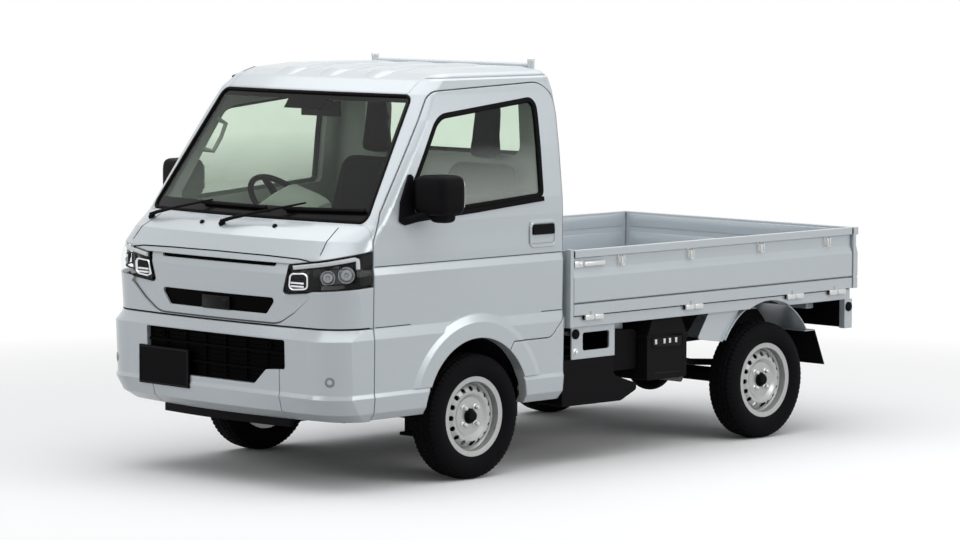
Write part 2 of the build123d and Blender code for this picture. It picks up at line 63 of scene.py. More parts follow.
FRONT_AXLE = middle_of("tyre_front_left").y
WHEELBASE = (middle_of("tyre_rear_left").y - FRONT_AXLE) / MM
TRACK_HALF = middle_of("tyre_front_left").x / MM
TYRE_R = middle_of("tyre_front_left").z / MM


def at(x, y, z):
    return Vector((x * MM, FRONT_AXLE + y * MM, z * MM))


def linked(name, data):
    """Object with that data, placed in the scene."""
    obj = bpy.data.objects.new(name, data)
    scene.collection.objects.link(obj)
    return obj


def object_from(name, bm):
    """Object from a mesh under construction, which is freed."""
    mesh = bpy.data.meshes.new(name)
    bm.to_mesh(mesh)
    bm.free()
    return linked(name, mesh)


# Camera, fitted to the photograph's wheels, gates and window corners
CAMERA_AT = Vector((11.8800, -12.2264, 2.2984))
CAMERA_AZIMUTH = math.radians(44.392)
CAMERA_ELEVATION = math.radians(5.043)
CAMERA_ROLL = math.radians(0.166)
CAMERA_LENS = 142.17


def add_camera():
    back = Vector((math.sin(CAMERA_AZIMUTH) * math.cos(CAMERA_ELEVATION),
                   -math.cos(CAMERA_AZIMUTH) * math.cos(CAMERA_ELEVATION), math.sin(CAMERA_ELEVATION)))
    level = Vector((math.cos(CAMERA_AZIMUTH), math.sin(CAMERA_AZIMUTH), 0))
    upright = back.cross(level)
    right = level * math.cos(CAMERA_ROLL) + upright * math.sin(CAMERA_ROLL)
    up = back.cross(right)
    data = bpy.data.cameras.new("camera")
    data.lens = CAMERA_LENS
    data.sensor_width = 36
    data.clip_end = 100
    camera = linked("camera", data)
    turn = Matrix((right, up, back)).transposed().to_4x4()
    camera.matrix_world = Matrix.Translation(CAMERA_AT) @ turn
    scene.camera = camera


# Studio: white floor that runs into a white backdrop, soft light all round
FLOOR_SIZE = 60
FLOOR_FADE = (2.4, 5.2)
FLOOR_SEEN, FLOOR_BOUNCE = (0.95, 0.95, 0.95), (0.36, 0.36, 0.36)
# Share of the way round from the right side, brightness of the lit surroundings
SURROUND = [(0.0, 0.80), (0.14, 0.95), (0.30, 0.85), (0.40, 0.62), (0.455, 0.34), (0.52, 0.52), (0.62, 0.66),
            (0.80, 0.72), (1.0, 0.80)]
# Above the horizon the surroundings turn to the colour of an even sky
SKY_RISE, SKY_COLOR = [(0.05, (0, 0, 0)), (0.38, (1, 1, 1))], (0.98, 1.0, 1.02, 1)
WORLD_STRENGTH = 0.44
# Soft lamps: name, place, aim, size, power
LAMPS = [
    ("overhead", (0.3, -0.3, 5.2), (0, 0, 0), (8, 8), 262),
    ("front", (-1.5, -7.0, 2.6), (0, -1.2, 0.8), (4, 2), 50),
    ("side", (7.0, 2.0, 3.0), (0.7, 0.2, 0.8), (5, 2), 130),
]


def put(tree, socket, value):
    """Links another socket to this one, or sets a plain value on it."""
    if isinstance(value, bpy.types.NodeSocket):
        tree.links.new(value, socket)
    else:
        socket.default_value = value


def new_node(tree, kind, **settings):
    """Shader node; settings are named after its inputs, with underscores for spaces."""
    node = tree.nodes.new("ShaderNode" + kind)
    for name, value in settings.items():
        put(tree, node.inputs[name.replace("_", " ")], value)
    return node


def maths(tree, operation, *values, kind="Math", out="Value"):
    """Result of a Math or VectorMath node on sockets and plain values."""
    node = new_node(tree, kind)
    node.operation = operation
    for socket, value in zip(node.inputs, values):
        put(tree, socket, value)
    return node.outputs[out]


def ramp(tree, factor, stops):
    node = new_node(tree, "ValToRGB", Fac=factor)
    elements = node.color_ramp.elements
    while len(elements) < len(stops):
        elements.new(0.5)
    for element, (place, color) in zip(elements, stops):
        element.position = place
        element.color = (*color, 1)
    return node.outputs["Color"]


def mix_onto(tree, factor, first, second):
    """Mixes two shaders by a factor and sends the result to the tree's output."""
    mix = new_node(tree, "MixShader")
    for value, socket in zip((factor, first.outputs[0], second.outputs[0]), mix.inputs):
        tree.links.new(value, socket)
    output = next(node for node in tree.nodes if "Surface" in node.inputs)
    tree.links.new(mix.outputs[0], output.inputs["Surface"])


def new_material(name, source=None):
    """Material with its node tree, copied from a source if there is one."""
    material = source.copy() if source else bpy.data.materials.new(name)
    material.name = name
    material.use_nodes = True
    return material, material.node_tree


def shown(tree):
    """1 for rays that show the backdrop itself: to the camera, in gloss or through glass."""
    path = new_node(tree, "LightPath").outputs
    mirrored = maths(tree, "MAXIMUM", path["Is Glossy Ray"], path["Is Transmission Ray"])
    return maths(tree, "MAXIMUM", path["Is Camera Ray"], mirrored)


def add_floor():
    bm = bmesh.new()
    bmesh.ops.create_grid(bm, x_segments=2, y_segments=2, size=FLOOR_SIZE / 2)
    floor = object_from("floor", bm)
    material, tree = new_material("floor")
    shader = tree.nodes["Principled BSDF"]
    shows = shown(tree)
    color = ramp(tree, shows, [(0.0, FLOOR_BOUNCE), (1.0, FLOOR_SEEN)])
    for socket, value in (("Base Color", color), ("Roughness", 0.9), ("Specular IOR Level", 0.0)):
        put(tree, shader.inputs[socket], value)
    glow = new_node(tree, "Emission")
    away = maths(tree, "LENGTH", new_node(tree, "TexCoord").outputs["Object"], kind="VectorMath")
    fade = new_node(tree, "MapRange", Value=away, From_Min=FLOOR_FADE[0], From_Max=FLOOR_FADE[1])
    glows = maths(tree, "MULTIPLY", fade.outputs["Result"], shows)
    mix_onto(tree, glows, shader, glow)
    floor.data.materials.append(material)


def add_world():
    world = bpy.data.worlds.new("studio")
    scene.world = world
    world.use_nodes = True
    tree = world.node_tree
    tree.nodes.clear()
    new_node(tree, "OutputWorld")
    place = new_node(tree, "TexCoord").outputs["Generated"]
    around = new_node(tree, "TexGradient", Vector=place)
    around.gradient_type = "RADIAL"
    ring = ramp(tree, around.outputs["Fac"], [(share, (v, v, v)) for share, v in SURROUND])
    height = ramp(tree, new_node(tree, "SeparateXYZ", Vector=place).outputs["Z"], SKY_RISE)
    blend = new_node(tree, "Mix")
    blend.data_type = "RGBA"
    for socket, value in (("Factor", height), ("A", ring), ("B", SKY_COLOR)):
        put(tree, blend.inputs[socket], value)
    lit = new_node(tree, "Background", Color=blend.outputs["Result"], Strength=WORLD_STRENGTH)
    white = new_node(tree, "Background", Color=(1, 1, 1, 1))
    mix_onto(tree, shown(tree), lit, white)


def add_lamps():
    for name, place, aim, size, power in LAMPS:
        data = bpy.data.lights.new(name, "AREA")
        data.shape = "RECTANGLE"
        data.size, data.size_y = size
        data.energy = power
        lamp = linked(name, data)
        lamp.location = place
        lamp.rotation_euler = (Vector(aim) - Vector(place)).to_track_quat("-Z", "Y").to_euler()


# Materials
CAB_CENTRE = at(0, -150, 1100)
GRAIN_STOPS, GRAIN_DETAIL = (0.3, 0.7), 3
GLOSS_SPREAD, COAT_ROUGHNESS = 0.05, 0.06
TRIM_ROUGHNESS, INWARD_LIMIT = 0.75, -0.05
GLASS_GRAIN, GLASS_DEEP, GLASS_ROUGHNESS = 3, 0.97, 0.02


def grained(name, color, roughness, metallic=0.0, spread=0.08, scale=250, bump=0.0, edge=0.0, coat=0.0,
            specular=0.5):
    """Shader with a fine noise in colour and gloss; edge rounds the look of sharp edges, in metres."""
    material, tree = new_material(name)
    shader = tree.nodes["Principled BSDF"].inputs
    place = new_node(tree, "TexCoord").outputs["Object"]
    noise = new_node(tree, "TexNoise", Scale=scale, Detail=GRAIN_DETAIL, Vector=place).outputs["Fac"]
    shades = [tuple(c * share for c in color) for share in (1 - spread, 1 + spread)]
    gloss = new_node(tree, "MapRange", To_Min=max(roughness - GLOSS_SPREAD, 0.0),
                     To_Max=min(roughness + GLOSS_SPREAD, 1.0), Value=noise)
    settings = {"Base Color": ramp(tree, noise, list(zip(GRAIN_STOPS, shades))),
                "Roughness": gloss.outputs["Result"], "Metallic": metallic, "Coat Weight": coat,
                "Coat Roughness": COAT_ROUGHNESS, "Specular IOR Level": specular}
    for socket, value in settings.items():
        put(tree, shader[socket], value)
    relief = {}
    if edge:
        bevel = new_node(tree, "Bevel", Radius=edge)
        bevel.samples = 6
        relief["Normal"] = bevel.outputs["Normal"]
    if bump:
        grain = new_node(tree, "Bump", Strength=bump, Distance=MM, Height=noise, **relief)
        relief["Normal"] = grain.outputs["Normal"]
    for socket, value in relief.items():
        put(tree, shader[socket], value)
    return material


def lined(outside, inside, name):
    """Copy of the outside material that turns to the inside one's colour where a face looks into the cab."""
    material, tree = new_material(name, outside)
    source = inside.node_tree.nodes["Color Ramp"].color_ramp.elements
    noise = tree.nodes["Noise Texture"].outputs["Fac"]
    color = ramp(tree, noise, [(e.position, tuple(e.color)[:3]) for e in source])
    trim = new_node(tree, "BsdfPrincipled", Base_Color=color, Roughness=TRIM_ROUGHNESS)
    face = new_node(tree, "NewGeometry").outputs
    outward = maths(tree, "SUBTRACT", face["Position"], CAB_CENTRE, kind="VectorMath", out="Vector")
    facing = maths(tree, "DOT_PRODUCT", outward, face["Normal"], kind="VectorMath")
    inward = maths(tree, "LESS_THAN", facing, INWARD_LIMIT)
    mix_onto(tree, inward, tree.nodes["Principled BSDF"], trim)
    return material


def glazing(name, tint, reflect):
    """Thin clear glass: lets light straight through and mirrors a little."""
    material, tree = new_material(name)
    tree.nodes.remove(tree.nodes["Principled BSDF"])
    place = new_node(tree, "TexCoord").outputs["Object"]
    noise = new_node(tree, "TexNoise", Scale=GLASS_GRAIN, Vector=place).outputs["Fac"]
    shades = [tuple(c * GLASS_DEEP for c in tint), tint]
    through = new_node(tree, "BsdfTransparent", Color=ramp(tree, noise, list(zip(GRAIN_STOPS, shades))))
    shine = new_node(tree, "BsdfGlossy", Roughness=GLASS_ROUGHNESS)
    fresnel = new_node(tree, "Fresnel", IOR=reflect).outputs[0]
    front = maths(tree, "SUBTRACT", 1.0, new_node(tree, "NewGeometry").outputs["Backfacing"])
    mix_onto(tree, maths(tree, "MULTIPLY", fresnel, front), through, shine)
    return material


# Printed black border of the windscreen: glass half widths at base and top, border widths
SCREEN_BASE_Z, SCREEN_TOP_Z = 1112, 1630
SCREEN_BASE_X, SCREEN_TOP_X = 675, 590
BORDER_SIDE, BORDER_LOW, BORDER_TOP = 30, 52, 30
SENSOR_HALF, SENSOR_LOW_Z = 120, 1560
BORDER_BLACK, BORDER_ROUGHNESS, BORDER_SPECULAR = (0.006, 0.0055, 0.006, 1), 0.2, 0.15


def bordered(glass, name):
    """Windscreen glass with its border and the patch over the sensors."""
    material, tree = new_material(name, glass)
    clear = tree.nodes["Mix Shader"]
    place = new_node(tree, "SeparateXYZ", Vector=tree.nodes["Texture Coordinate"].outputs["Object"]).outputs
    x, z = maths(tree, "ABSOLUTE", place["X"]), place["Z"]
    slant = (SCREEN_BASE_X - SCREEN_TOP_X) / (SCREEN_TOP_Z - SCREEN_BASE_Z)
    widest = (SCREEN_BASE_X + slant * SCREEN_BASE_Z - BORDER_SIDE) * MM
    half = maths(tree, "SUBTRACT", widest, maths(tree, "MULTIPLY", z, slant))
    border = maths(tree, "MULTIPLY", maths(tree, "LESS_THAN", x, SENSOR_HALF * MM),
                   maths(tree, "GREATER_THAN", z, SENSOR_LOW_Z * MM))
    for test, value, limit in (("GREATER_THAN", x, half), ("LESS_THAN", z, (SCREEN_BASE_Z + BORDER_LOW) * MM),
                               ("GREATER_THAN", z, (SCREEN_TOP_Z - BORDER_TOP) * MM)):
        border = maths(tree, "MAXIMUM", border, maths(tree, test, value, limit))
    black = new_node(tree, "BsdfPrincipled", Base_Color=BORDER_BLACK, Roughness=BORDER_ROUGHNESS,
                     Specular_IOR_Level=BORDER_SPECULAR)
    mix_onto(tree, border, clear, black)
    return material


# Door glass: heights in metres between which the painted sheen, a pale stand-in for reflection, grows, its
# most and its colour
PAINTED_SHEEN_Z, PAINTED_SHEEN_MOST, PAINTED_SHEEN_COLOR = (1.42, 1.20), 0.34, (0.60, 0.63, 0.61, 1)


def with_painted_sheen(glass, name):
    """Glass with a painted sheen: a pale diffuse layer that stands for reflection and grows towards the sill.
    """
    material, tree = new_material(name, glass)
    clear = tree.nodes["Mix Shader"]
    place = new_node(tree, "SeparateXYZ", Vector=tree.nodes["Texture Coordinate"].outputs["Object"])
    share = new_node(tree, "MapRange", Value=place.outputs["Z"], From_Min=PAINTED_SHEEN_Z[0], From_Max=PAINTED_SHEEN_Z[1],
                     To_Max=PAINTED_SHEEN_MOST)
    painted_sheen = new_node(tree, "BsdfDiffuse", Color=PAINTED_SHEEN_COLOR)
    mix_onto(tree, share.outputs["Result"], clear, painted_sheen)
    return material


def silver(name, edge):
    return grained(name, (0.515, 0.56, 0.59), 0.28, metallic=0.25, spread=0.03, scale=1400, edge=edge,
                   coat=0.4)


PAINT = silver("silver_paint", 0.006)
ROOF_PAINT = silver("roof_paint", 0.022)
# Grey that paints the shade in creases, grooves and gaps: strips along the door creases, the gate grooves and
# the nose recess edge, and the sensor rings
CREASE_SHADE = grained("painted_crease_shade", (0.10, 0.108, 0.112), 0.5, scale=900, specular=0.2)
TRIM = grained("interior_trim", (0.58, 0.60, 0.58), 0.75, scale=600)
DASH = grained("dashboard_grey", (0.27, 0.285, 0.27), 0.62, spread=0.12, scale=800, bump=0.2, specular=0.3)
CAB_PAINT = lined(PAINT, TRIM, "silver_paint_and_trim")
PLASTIC = grained("black_plastic", (0.0055, 0.005, 0.006), 0.5, spread=0.15, scale=900, bump=0.1, edge=0.004,
                  specular=0.05)
GREY = grained("grey_plastic", (0.010, 0.0095, 0.0105), 0.6, spread=0.12, scale=500, bump=0.15, edge=0.004,
               specular=0.05)
GRILLE = grained("grille_black", (0.0015, 0.0015, 0.0018), 0.45, spread=0.15, scale=600, specular=0.015)
GLOSS = grained("black_gloss", (0.004, 0.004, 0.0045), 0.12, spread=0.1, scale=500, specular=0.12)
RUBBER = grained("seal_rubber", (0.0045, 0.004, 0.0045), 0.6, spread=0.15, scale=700, specular=0.05)
TYRE = grained("tyre_rubber", (0.0055, 0.0055, 0.0065), 0.7, spread=0.2, scale=500, bump=0.2, specular=0.05)
WHEEL = grained("wheel_silver", (0.50, 0.505, 0.50), 0.27, metallic=0.4, spread=0.04, scale=900, edge=0.002)
CHROME = grained("reflector_chrome", (0.78, 0.79, 0.81), 0.10, metallic=1.0, spread=0.04, scale=120)
SMOKE = grained("dim_reflector", (0.30, 0.31, 0.32), 0.16, metallic=1.0, spread=0.05, scale=120)
LED = grained("lamp_white", (0.88, 0.89, 0.90), 0.25, spread=0.02, scale=200)
FABRIC = grained("seat_cloth", (0.030, 0.031, 0.032), 0.9, spread=0.12, scale=1500, bump=0.15, specular=0.1)
PIPING = grained("seat_piping", (0.016, 0.016, 0.017), 0.8, spread=0.2, scale=900, specular=0.2)
CHASSIS = grained("chassis_black", (0.0055, 0.005, 0.006), 0.55, spread=0.2, scale=120, specular=0.05)
ALLOY = grained("cast_alloy", (0.30, 0.30, 0.31), 0.5, metallic=0.8, spread=0.15, scale=160, bump=0.2)
EXHAUST = grained("dull_steel", (0.28, 0.25, 0.22), 0.5, metallic=0.85, spread=0.2, scale=60)
PLATE = grained("blank_plate", (0.0045, 0.0045, 0.0055), 0.4, spread=0.12, scale=400, specular=0.03)
RED = grained("red_lens", (0.42, 0.012, 0.012), 0.12, spread=0.1, scale=300, coat=0.6)
AMBER = grained("amber_lens", (0.62, 0.20, 0.02), 0.12, spread=0.1, scale=300, coat=0.6)
ZINC = grained("zinc_steel", (0.68, 0.69, 0.685), 0.32, metallic=0.55, scale=300)
GLASS = glazing("green_glass", (0.90, 0.945, 0.90), 1.35)
SCREEN_GLASS = bordered(GLASS, "windscreen_glass")
# Door glass with a painted sheen that stands for reflection towards the sill
DOOR_GLASS = with_painted_sheen(GLASS, "door_glass")
LENS = glazing("clear_lens", (0.97, 0.98, 0.985), 1.22)

SLOT_LOOKS = {
    "paint_silver": PAINT, "plastic_black": PLASTIC, "rubber_black": RUBBER, "tyre": TYRE,
    "wheel_silver": WHEEL, "glass": GLASS, "lamp_lens": LENS, "lamp_red": RED, "seat_fabric": FABRIC,
    "frame_black": CHASSIS, "engine_metal": ALLOY, "exhaust_steel": EXHAUST, "plate_blank": PLATE,
}
NODE_LOOKS = {"windscreen": SCREEN_GLASS, "cab_floor": DASH, "dashboard": DASH, "steering_wheel": PLASTIC,
              "front_grille": GRILLE, "battery_box": GREY, "door_glass_left": DOOR_GLASS,
              "door_glass_right": DOOR_GLASS}
for cab_node in ("door_left", "door_right", "cab_sides", "cab_rear_wall", "nose_panel"):
    NODE_LOOKS[cab_node] = CAB_PAINT
NODE_LOOKS["roof_panel"] = lined(ROOF_PAINT, TRIM, "roof_paint_and_trim")


def dress_nodes():
    slots = {part["node"]: part["material_slot"] for part in frame["record"]["subparts"]}
    for name, node in nodes.items():
        node.data.materials.clear()
        node.data.materials.append(NODE_LOOKS.get(name, SLOT_LOOKS[slots[name]]))


# Mesh helpers
def piece(name, bm, material, body="chassis", sharp=40):
    """Object from a mesh, shaded smooth apart from edges sharper than an angle, riding on a body."""
    bmesh.ops.recalc_face_normals(bm, faces=bm.faces)
    obj = object_from(name, bm)
    mesh = obj.data
    mesh.polygons.foreach_set("use_smooth", [True] * len(mesh.polygons))
    mesh.set_sharp_from_angle(angle=math.radians(sharp))
    mesh.materials.append(material)
    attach(obj, body)
    return obj


def skin(bm, rings, closed=True, caps=True):
    """Faces between rings of points; closed joins the ring's ends."""
    rows = [[bm.verts.new(p) for p in ring] for ring in rings]
    count = len(rows[0])
    for a, b in zip(rows, rows[1:]):
        for i in range(count if closed else count - 1):
            j = (i + 1) % count
            bm.faces.new((a[i], a[j], b[j], b[i]))
    if caps:
        bm.faces.new(rows[0])
        bm.faces.new(rows[-1])
    return rows


def block(bm, low, high, bevel=2.0, segments=2):
    """Box between two corners in millimetres with rounded edges."""
    made = bmesh.ops.create_cube(bm, size=1)["verts"]
    a, b = at(*low), at(*high)
    shape = Matrix.Translation((a + b) / 2) @ Matrix.Diagonal((*(b - a), 1))
    bmesh.ops.transform(bm, matrix=shape, verts=made)
    edges = {e for v in made for e in v.link_edges}
    bmesh.ops.bevel(bm, geom=list(edges), offset=bevel * MM, segments=segments, affect="EDGES", profile=0.5)


def frames_along(points):
    """Two steady side directions at each point of a line."""
    result = []
    side = None
    for i, p in enumerate(points):
        along = (points[min(i + 1, len(points) - 1)] - points[max(i - 1, 0)]).normalized()
        if side is None:
            side = along.orthogonal().normalized()
        side = (side - along * side.dot(along)).normalized()
        result.append((side, along.cross(side)))
    return result


def circle(centre, u, v, radius, count):
    """Points round a centre in the plane of two unit vectors; radius in millimetres."""
    angles = [2 * math.pi * k / count for k in range(count)]
    return [centre + (u * math.cos(a) + v * math.sin(a)) * radius * MM for a in angles]


def tube(bm, points, radius, sides=10):
    """Round bar along points in metres; radius in millimetres, one or one per point."""
    radii = radius if isinstance(radius, (list, tuple)) else [radius] * len(points)
    skin(bm, [circle(p, u, v, r, sides) for p, r, (u, v) in zip(points, radii, frames_along(points))])


# Radius that stands for a closed end
CLOSED_R = 0.01


def turned(bm, profile, origin, axis, segments=32):
    """Ring about an axis from (distance along the axis, radius) in millimetres; a zero radius closes it."""
    axis = Vector(axis).normalized()
    u = axis.orthogonal().normalized()
    v = axis.cross(u)
    skin(bm, [circle(origin + axis * along * MM, u, v, max(r, CLOSED_R), segments) for along, r in profile])


def rounded(points, steps=6):
    """Closed line through corner points (a, b, radius), in millimetres."""
    line = []
    for i, (a, b, r) in enumerate(points):
        here = Vector((a, b))
        if not r:
            line.append(here)
            continue
        u = (Vector(points[i - 1][:2]) - here).normalized()
        v = (Vector(points[(i + 1) % len(points)][:2]) - here).normalized()
        half = u.angle(v) / 2
        reach = r / math.tan(half)
        centre = here + (u + v).normalized() * (r / math.sin(half))
        start, end = here + u * reach, here + v * reach
        for k in range(steps + 1):
            line.append(centre + (start.lerp(end, k / steps) - centre).normalized() * r)
    return line


def spaced(line, step, closed=True):
    """The same line with points no further apart than step."""
    result = []
    pairs = zip(line, line[1:] + line[:1]) if closed else zip(line, line[1:])
    for a, b in pairs:
        count = max(1, math.ceil((b - a).length / step))
        result += [a.lerp(b, k / count) for k in range(count)]
    return result if closed else result + [line[-1]]


def shrunk(line, share):
    """The same closed line drawn in towards its middle."""
    centre = sum(line[1:], line[0]) / len(line)
    return [centre + (p - centre) * share for p in line]


def bulge(levels, power, least):
    """Steps from -1 to 1 and the share of the full size at each, which is least at both ends."""
    for k in range(levels + 1):
        t = -math.cos(math.pi * k / levels)
        yield t, max(1 - abs(t) ** power, 0.0) ** (1 / power) * (1 - least) + least


def surface_of(*names):
    """Search tree over CAD nodes, to lay trim on."""
    bm = bmesh.new()
    for name in names:
        bm.from_mesh(nodes[name].data)
    tree = BVHTree.FromBMesh(bm)
    bm.free()
    return tree


def lay(tree, point, direction, reach=0.6):
    """Where a line through the point, along the direction, first meets the surface, and the normal there."""
    direction = Vector(direction).normalized()
    hit, normal, _, _ = tree.ray_cast(point - direction * reach, direction)
    if hit is None:
        return point, -direction
    return hit, normal if normal.dot(direction) < 0 else -normal


# Distances at which points for the sides and the front are set before they are laid on a surface
SIDE_X, FRONT_Y = 700, -800


def lay_side(tree, side, y, z):
    return lay(tree, at(side * SIDE_X, y, z), (-side, 0, 0))


def lay_front(tree, x, z):
    return lay(tree, at(x, FRONT_Y, z), (0, 1, 0), 0.2)


def pad(width, height, sink=2.0):
    """Section of a strip with a rounded top: sideways and outward distances in millimetres."""
    h, r = width / 2, min(width, height) * 0.35
    return [(-h, -sink), (-h, height - r), (-h + 0.3 * r, height - 0.3 * r), (-h + r, height),
            (h - r, height), (h - 0.3 * r, height - 0.3 * r), (h, height - r), (h, -sink)]


def sweep(bm, places, section, closed=True):
    """Strip along places (point, outward normal) with a section in millimetres."""
    count = len(places)
    rings = []
    for i, (p, up) in enumerate(places):
        after = places[(i + 1) % count][0] if closed or i < count - 1 else p
        before = places[i - 1][0] if closed or i else p
        side = (after - before).cross(up).normalized()
        rings.append([p + side * u * MM + up * v * MM for u, v in section])
    rows = skin(bm, rings, caps=not closed)
    if closed:
        a, b = rows[-1], rows[0]
        for i in range(len(section)):
            j = (i + 1) % len(section)
            bm.faces.new((a[i], a[j], b[j], b[i]))


def strip(bm, places, width, height, sink=2.0):
    sweep(bm, places, pad(width, height, sink), closed=False)


def side_plate(bm, outline, side, x, thick, soft=1.0):
    """Plate on an upright side face: outline of (y, z, radius), standing out from x."""
    line = rounded(outline, 5)
    centre = sum(line, Vector((0, 0))) / len(line)
    rings = []
    for rise, inset in ((-1, 0), (thick - soft, 0), (thick, soft)):
        ring = [p + (centre - p).normalized() * inset for p in line]
        rings.append([at(side * (x + rise), p.x, p.y) for p in ring])
    skin(bm, rings)


# Wheels
# Half section of the tyre from bead to shoulder: distance from the middle, radius
TYRE_SIDE = [(50, 160), (53, 170), (59, 173), (66, 183), (70.5, 196), (72.3, 212), (71.6, 226), (69.2, 238),
             (66, 246), (62, 253), (57.5, 259)]
TREAD_HALF, TREAD_STEP, TREAD_DROP = 54, 4.5, 5.0
PITCHES, PITCH_STEPS = 72, 4
# Tread pattern: places across the tyre, half widths and depths of the cuts
MIDDLE_X, INNER_GROOVE_X, OUTER_GROOVE_X, SHOULDER_X = 12, 15, 36, 40
ZIGZAG, GROOVE_HALF, ZIG_GROOVE_HALF = 2.0, 2.3, 2.6
SHOULDER_CUT, GROOVE_CUT, SIPE_CUT = 4.5, 6.0, 3.0
TREAD_FROM_R = 250


def tread_depth(x, step):
    """How deep the tread is cut at a distance from the middle and a step round the tyre."""
    zig = ZIGZAG if (step // 2) % 2 else -ZIGZAG
    if abs(x) > SHOULDER_X:
        return SHOULDER_CUT if step % PITCH_STEPS == 0 else 0.0
    if abs(abs(x) - OUTER_GROOVE_X) < GROOVE_HALF or abs(abs(x) - INNER_GROOVE_X - zig) < ZIG_GROOVE_HALF:
        return GROOVE_CUT
    turn = step % (2 * PITCH_STEPS)
    return SIPE_CUT if turn == (0 if abs(x) < MIDDLE_X else PITCH_STEPS) else 0.0


def add_tyre(name, x, y, z, body, node):
    bm = bmesh.new()
    count = round(2 * TREAD_HALF / TREAD_STEP)
    tread = [TREAD_HALF - 2 * TREAD_HALF * k / count for k in range(count + 1)]
    crown = [(a, TYRE_R - TREAD_DROP * (a / TREAD_HALF) ** 2) for a in tread]
    profile = TYRE_SIDE + crown + [(-a, r) for a, r in reversed(TYRE_SIDE)]
    rings = []
    for step in range(PITCHES * PITCH_STEPS):
        angle = 2 * math.pi * step / (PITCHES * PITCH_STEPS)
        ring = []
        for a, r in profile:
            cut = tread_depth(a, step) if r > TREAD_FROM_R else 0.0
            ring.append(at(x + a, y + (r - cut) * math.cos(angle), z + (r - cut) * math.sin(angle)))
        rings.append(ring)
    rings.append(rings[0])
    skin(bm, rings, caps=False)
    bmesh.ops.remove_doubles(bm, verts=bm.verts, dist=1e-6)
    tyre = piece(name, bm, TYRE, body, sharp=28)
    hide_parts(node)


NUT_COUNT, NUT_CIRCLE_R = 4, 50
WASHER_PROFILE = [(28, 15), (31, 15), (33, 11), (33, 10.5)]
NUT_PROFILE = [(31, 10.5), (45, 10.5), (47, 9), (50, 7), (51, 0)]
CAP_PROFILE = [(28, 27), (44, 27), (52, 22), (55, 12), (55, 0)]
CAP_FOOT_PROFILE = [(28, 33), (32, 33), (34, 30), (34, 26)]
# Valve: place from the wheel's middle, then steps and radii along it
VALVE_AT, VALVE_STEPS, VALVE_R = (34, -122), [(0, 0), (14, 9), (26, 18)], [5, 4.5, 3.5]


def add_wheel_trim(name, x, y, z, out, body):
    """Nuts, hub cap and valve; out is the outward sign along x."""
    bm = bmesh.new()
    axis = (out, 0, 0)
    for k in range(NUT_COUNT):
        angle = math.pi / 4 + 2 * math.pi * k / NUT_COUNT
        place = at(x, y + NUT_CIRCLE_R * math.cos(angle), z + NUT_CIRCLE_R * math.sin(angle))
        turned(bm, WASHER_PROFILE, place, axis, 18)
        turned(bm, NUT_PROFILE, place, axis, 6)
    piece(f"wheel_nuts_{name}", bm, ZINC, body, sharp=25)
    bm = bmesh.new()
    turned(bm, CAP_PROFILE, at(x, y, z), axis)
    turned(bm, CAP_FOOT_PROFILE, at(x, y, z), axis)
    side, up = VALVE_AT
    tube(bm, [at(x + out * (side + dx), y, z + up + dz) for dx, dz in VALVE_STEPS], VALVE_R)
    piece(f"hub_cap_{name}", bm, PLASTIC, body)


def add_wheels():
    for end, y in (("front", 0), ("rear", WHEELBASE)):
        for side, out in SIDES.items():
            name, body = f"{end}_{side}", f"wheel_{end}_{side}"
            add_tyre(f"tread_{name}", out * TRACK_HALF, y, TYRE_R, body, f"tyre_{name}")
            add_wheel_trim(name, out * TRACK_HALF, y, TYRE_R, out, body)


# Door mirrors: rounded housings on a plate at the window's front corner
MIRROR_PLAN = [(722, -402, 30), (885, -368, 45), (905, -240, 30), (740, -225, 30)]
MIRROR_Z = (1142, 1312)
LOBE_PLAN = [(775, -352, 22), (868, -336, 25), (872, -268, 22), (780, -262, 22)]
LOBE_Z = (1112, 1165)
MIRROR_STALK, STALK_R = [(716, -428, 1120), (740, -405, 1128), (790, -360, 1150)], [20, 19, 18]
MIRROR_GLASS = [(752, 1166, 20), (884, 1166, 20), (884, 1290, 20), (752, 1290, 20)]
SAIL = [(-388, 1318, 8), (-372, 1300, 8), (-372, 1130, 14), (-425, 1104, 14), (-462, 1118, 14),
        (-452, 1200, 20)]
SAIL_X = 720


def egg(bm, plan, z0, z1, side, power, levels=14):
    """Solid with a plan outline that draws in towards its top and bottom."""
    outline = rounded(plan, 8)
    rings = []
    for t, share in bulge(levels, power, 0.03):
        z = (z0 + z1) / 2 + t * (z1 - z0) / 2
        rings.append([at(side * p.x, p.y, z) for p in shrunk(outline, share)])
    skin(bm, rings)


def add_mirrors():
    for name, side in SIDES.items():
        door = surface_of(f"door_{name}", f"door_glass_{name}")
        bm = bmesh.new()
        egg(bm, MIRROR_PLAN, *MIRROR_Z, side, 5)
        egg(bm, LOBE_PLAN, *LOBE_Z, side, 3)
        tube(bm, [at(side * x, y, z) for x, y, z in MIRROR_STALK], STALK_R)
        edge = [lay(door, at(side * SAIL_X, *p), (-side, 0, 0)) for p in spaced(rounded(SAIL, 4), 30)]
        skin(bm, [[p + n * d * MM for p, n in edge] for d in (-3, 8, 11)])
        shell = piece(f"mirror_housing_{name}", bm, PLASTIC, f"door_{name}")
        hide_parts(f"mirror_{name}")
        bm = bmesh.new()
        glass = rounded(MIRROR_GLASS)
        (x1, y1, _), (x0, y0, _) = MIRROR_PLAN[2:]
        rear = [y0 + (y1 - y0) / (x1 - x0) * (p.x - x0) for p in glass]
        skin(bm, [[at(side * p.x, y + d, p.y) for p, y in zip(glass, rear)] for d in (-6, 0.8)])
        piece(f"mirror_glass_{name}", bm, CHROME, f"door_{name}")


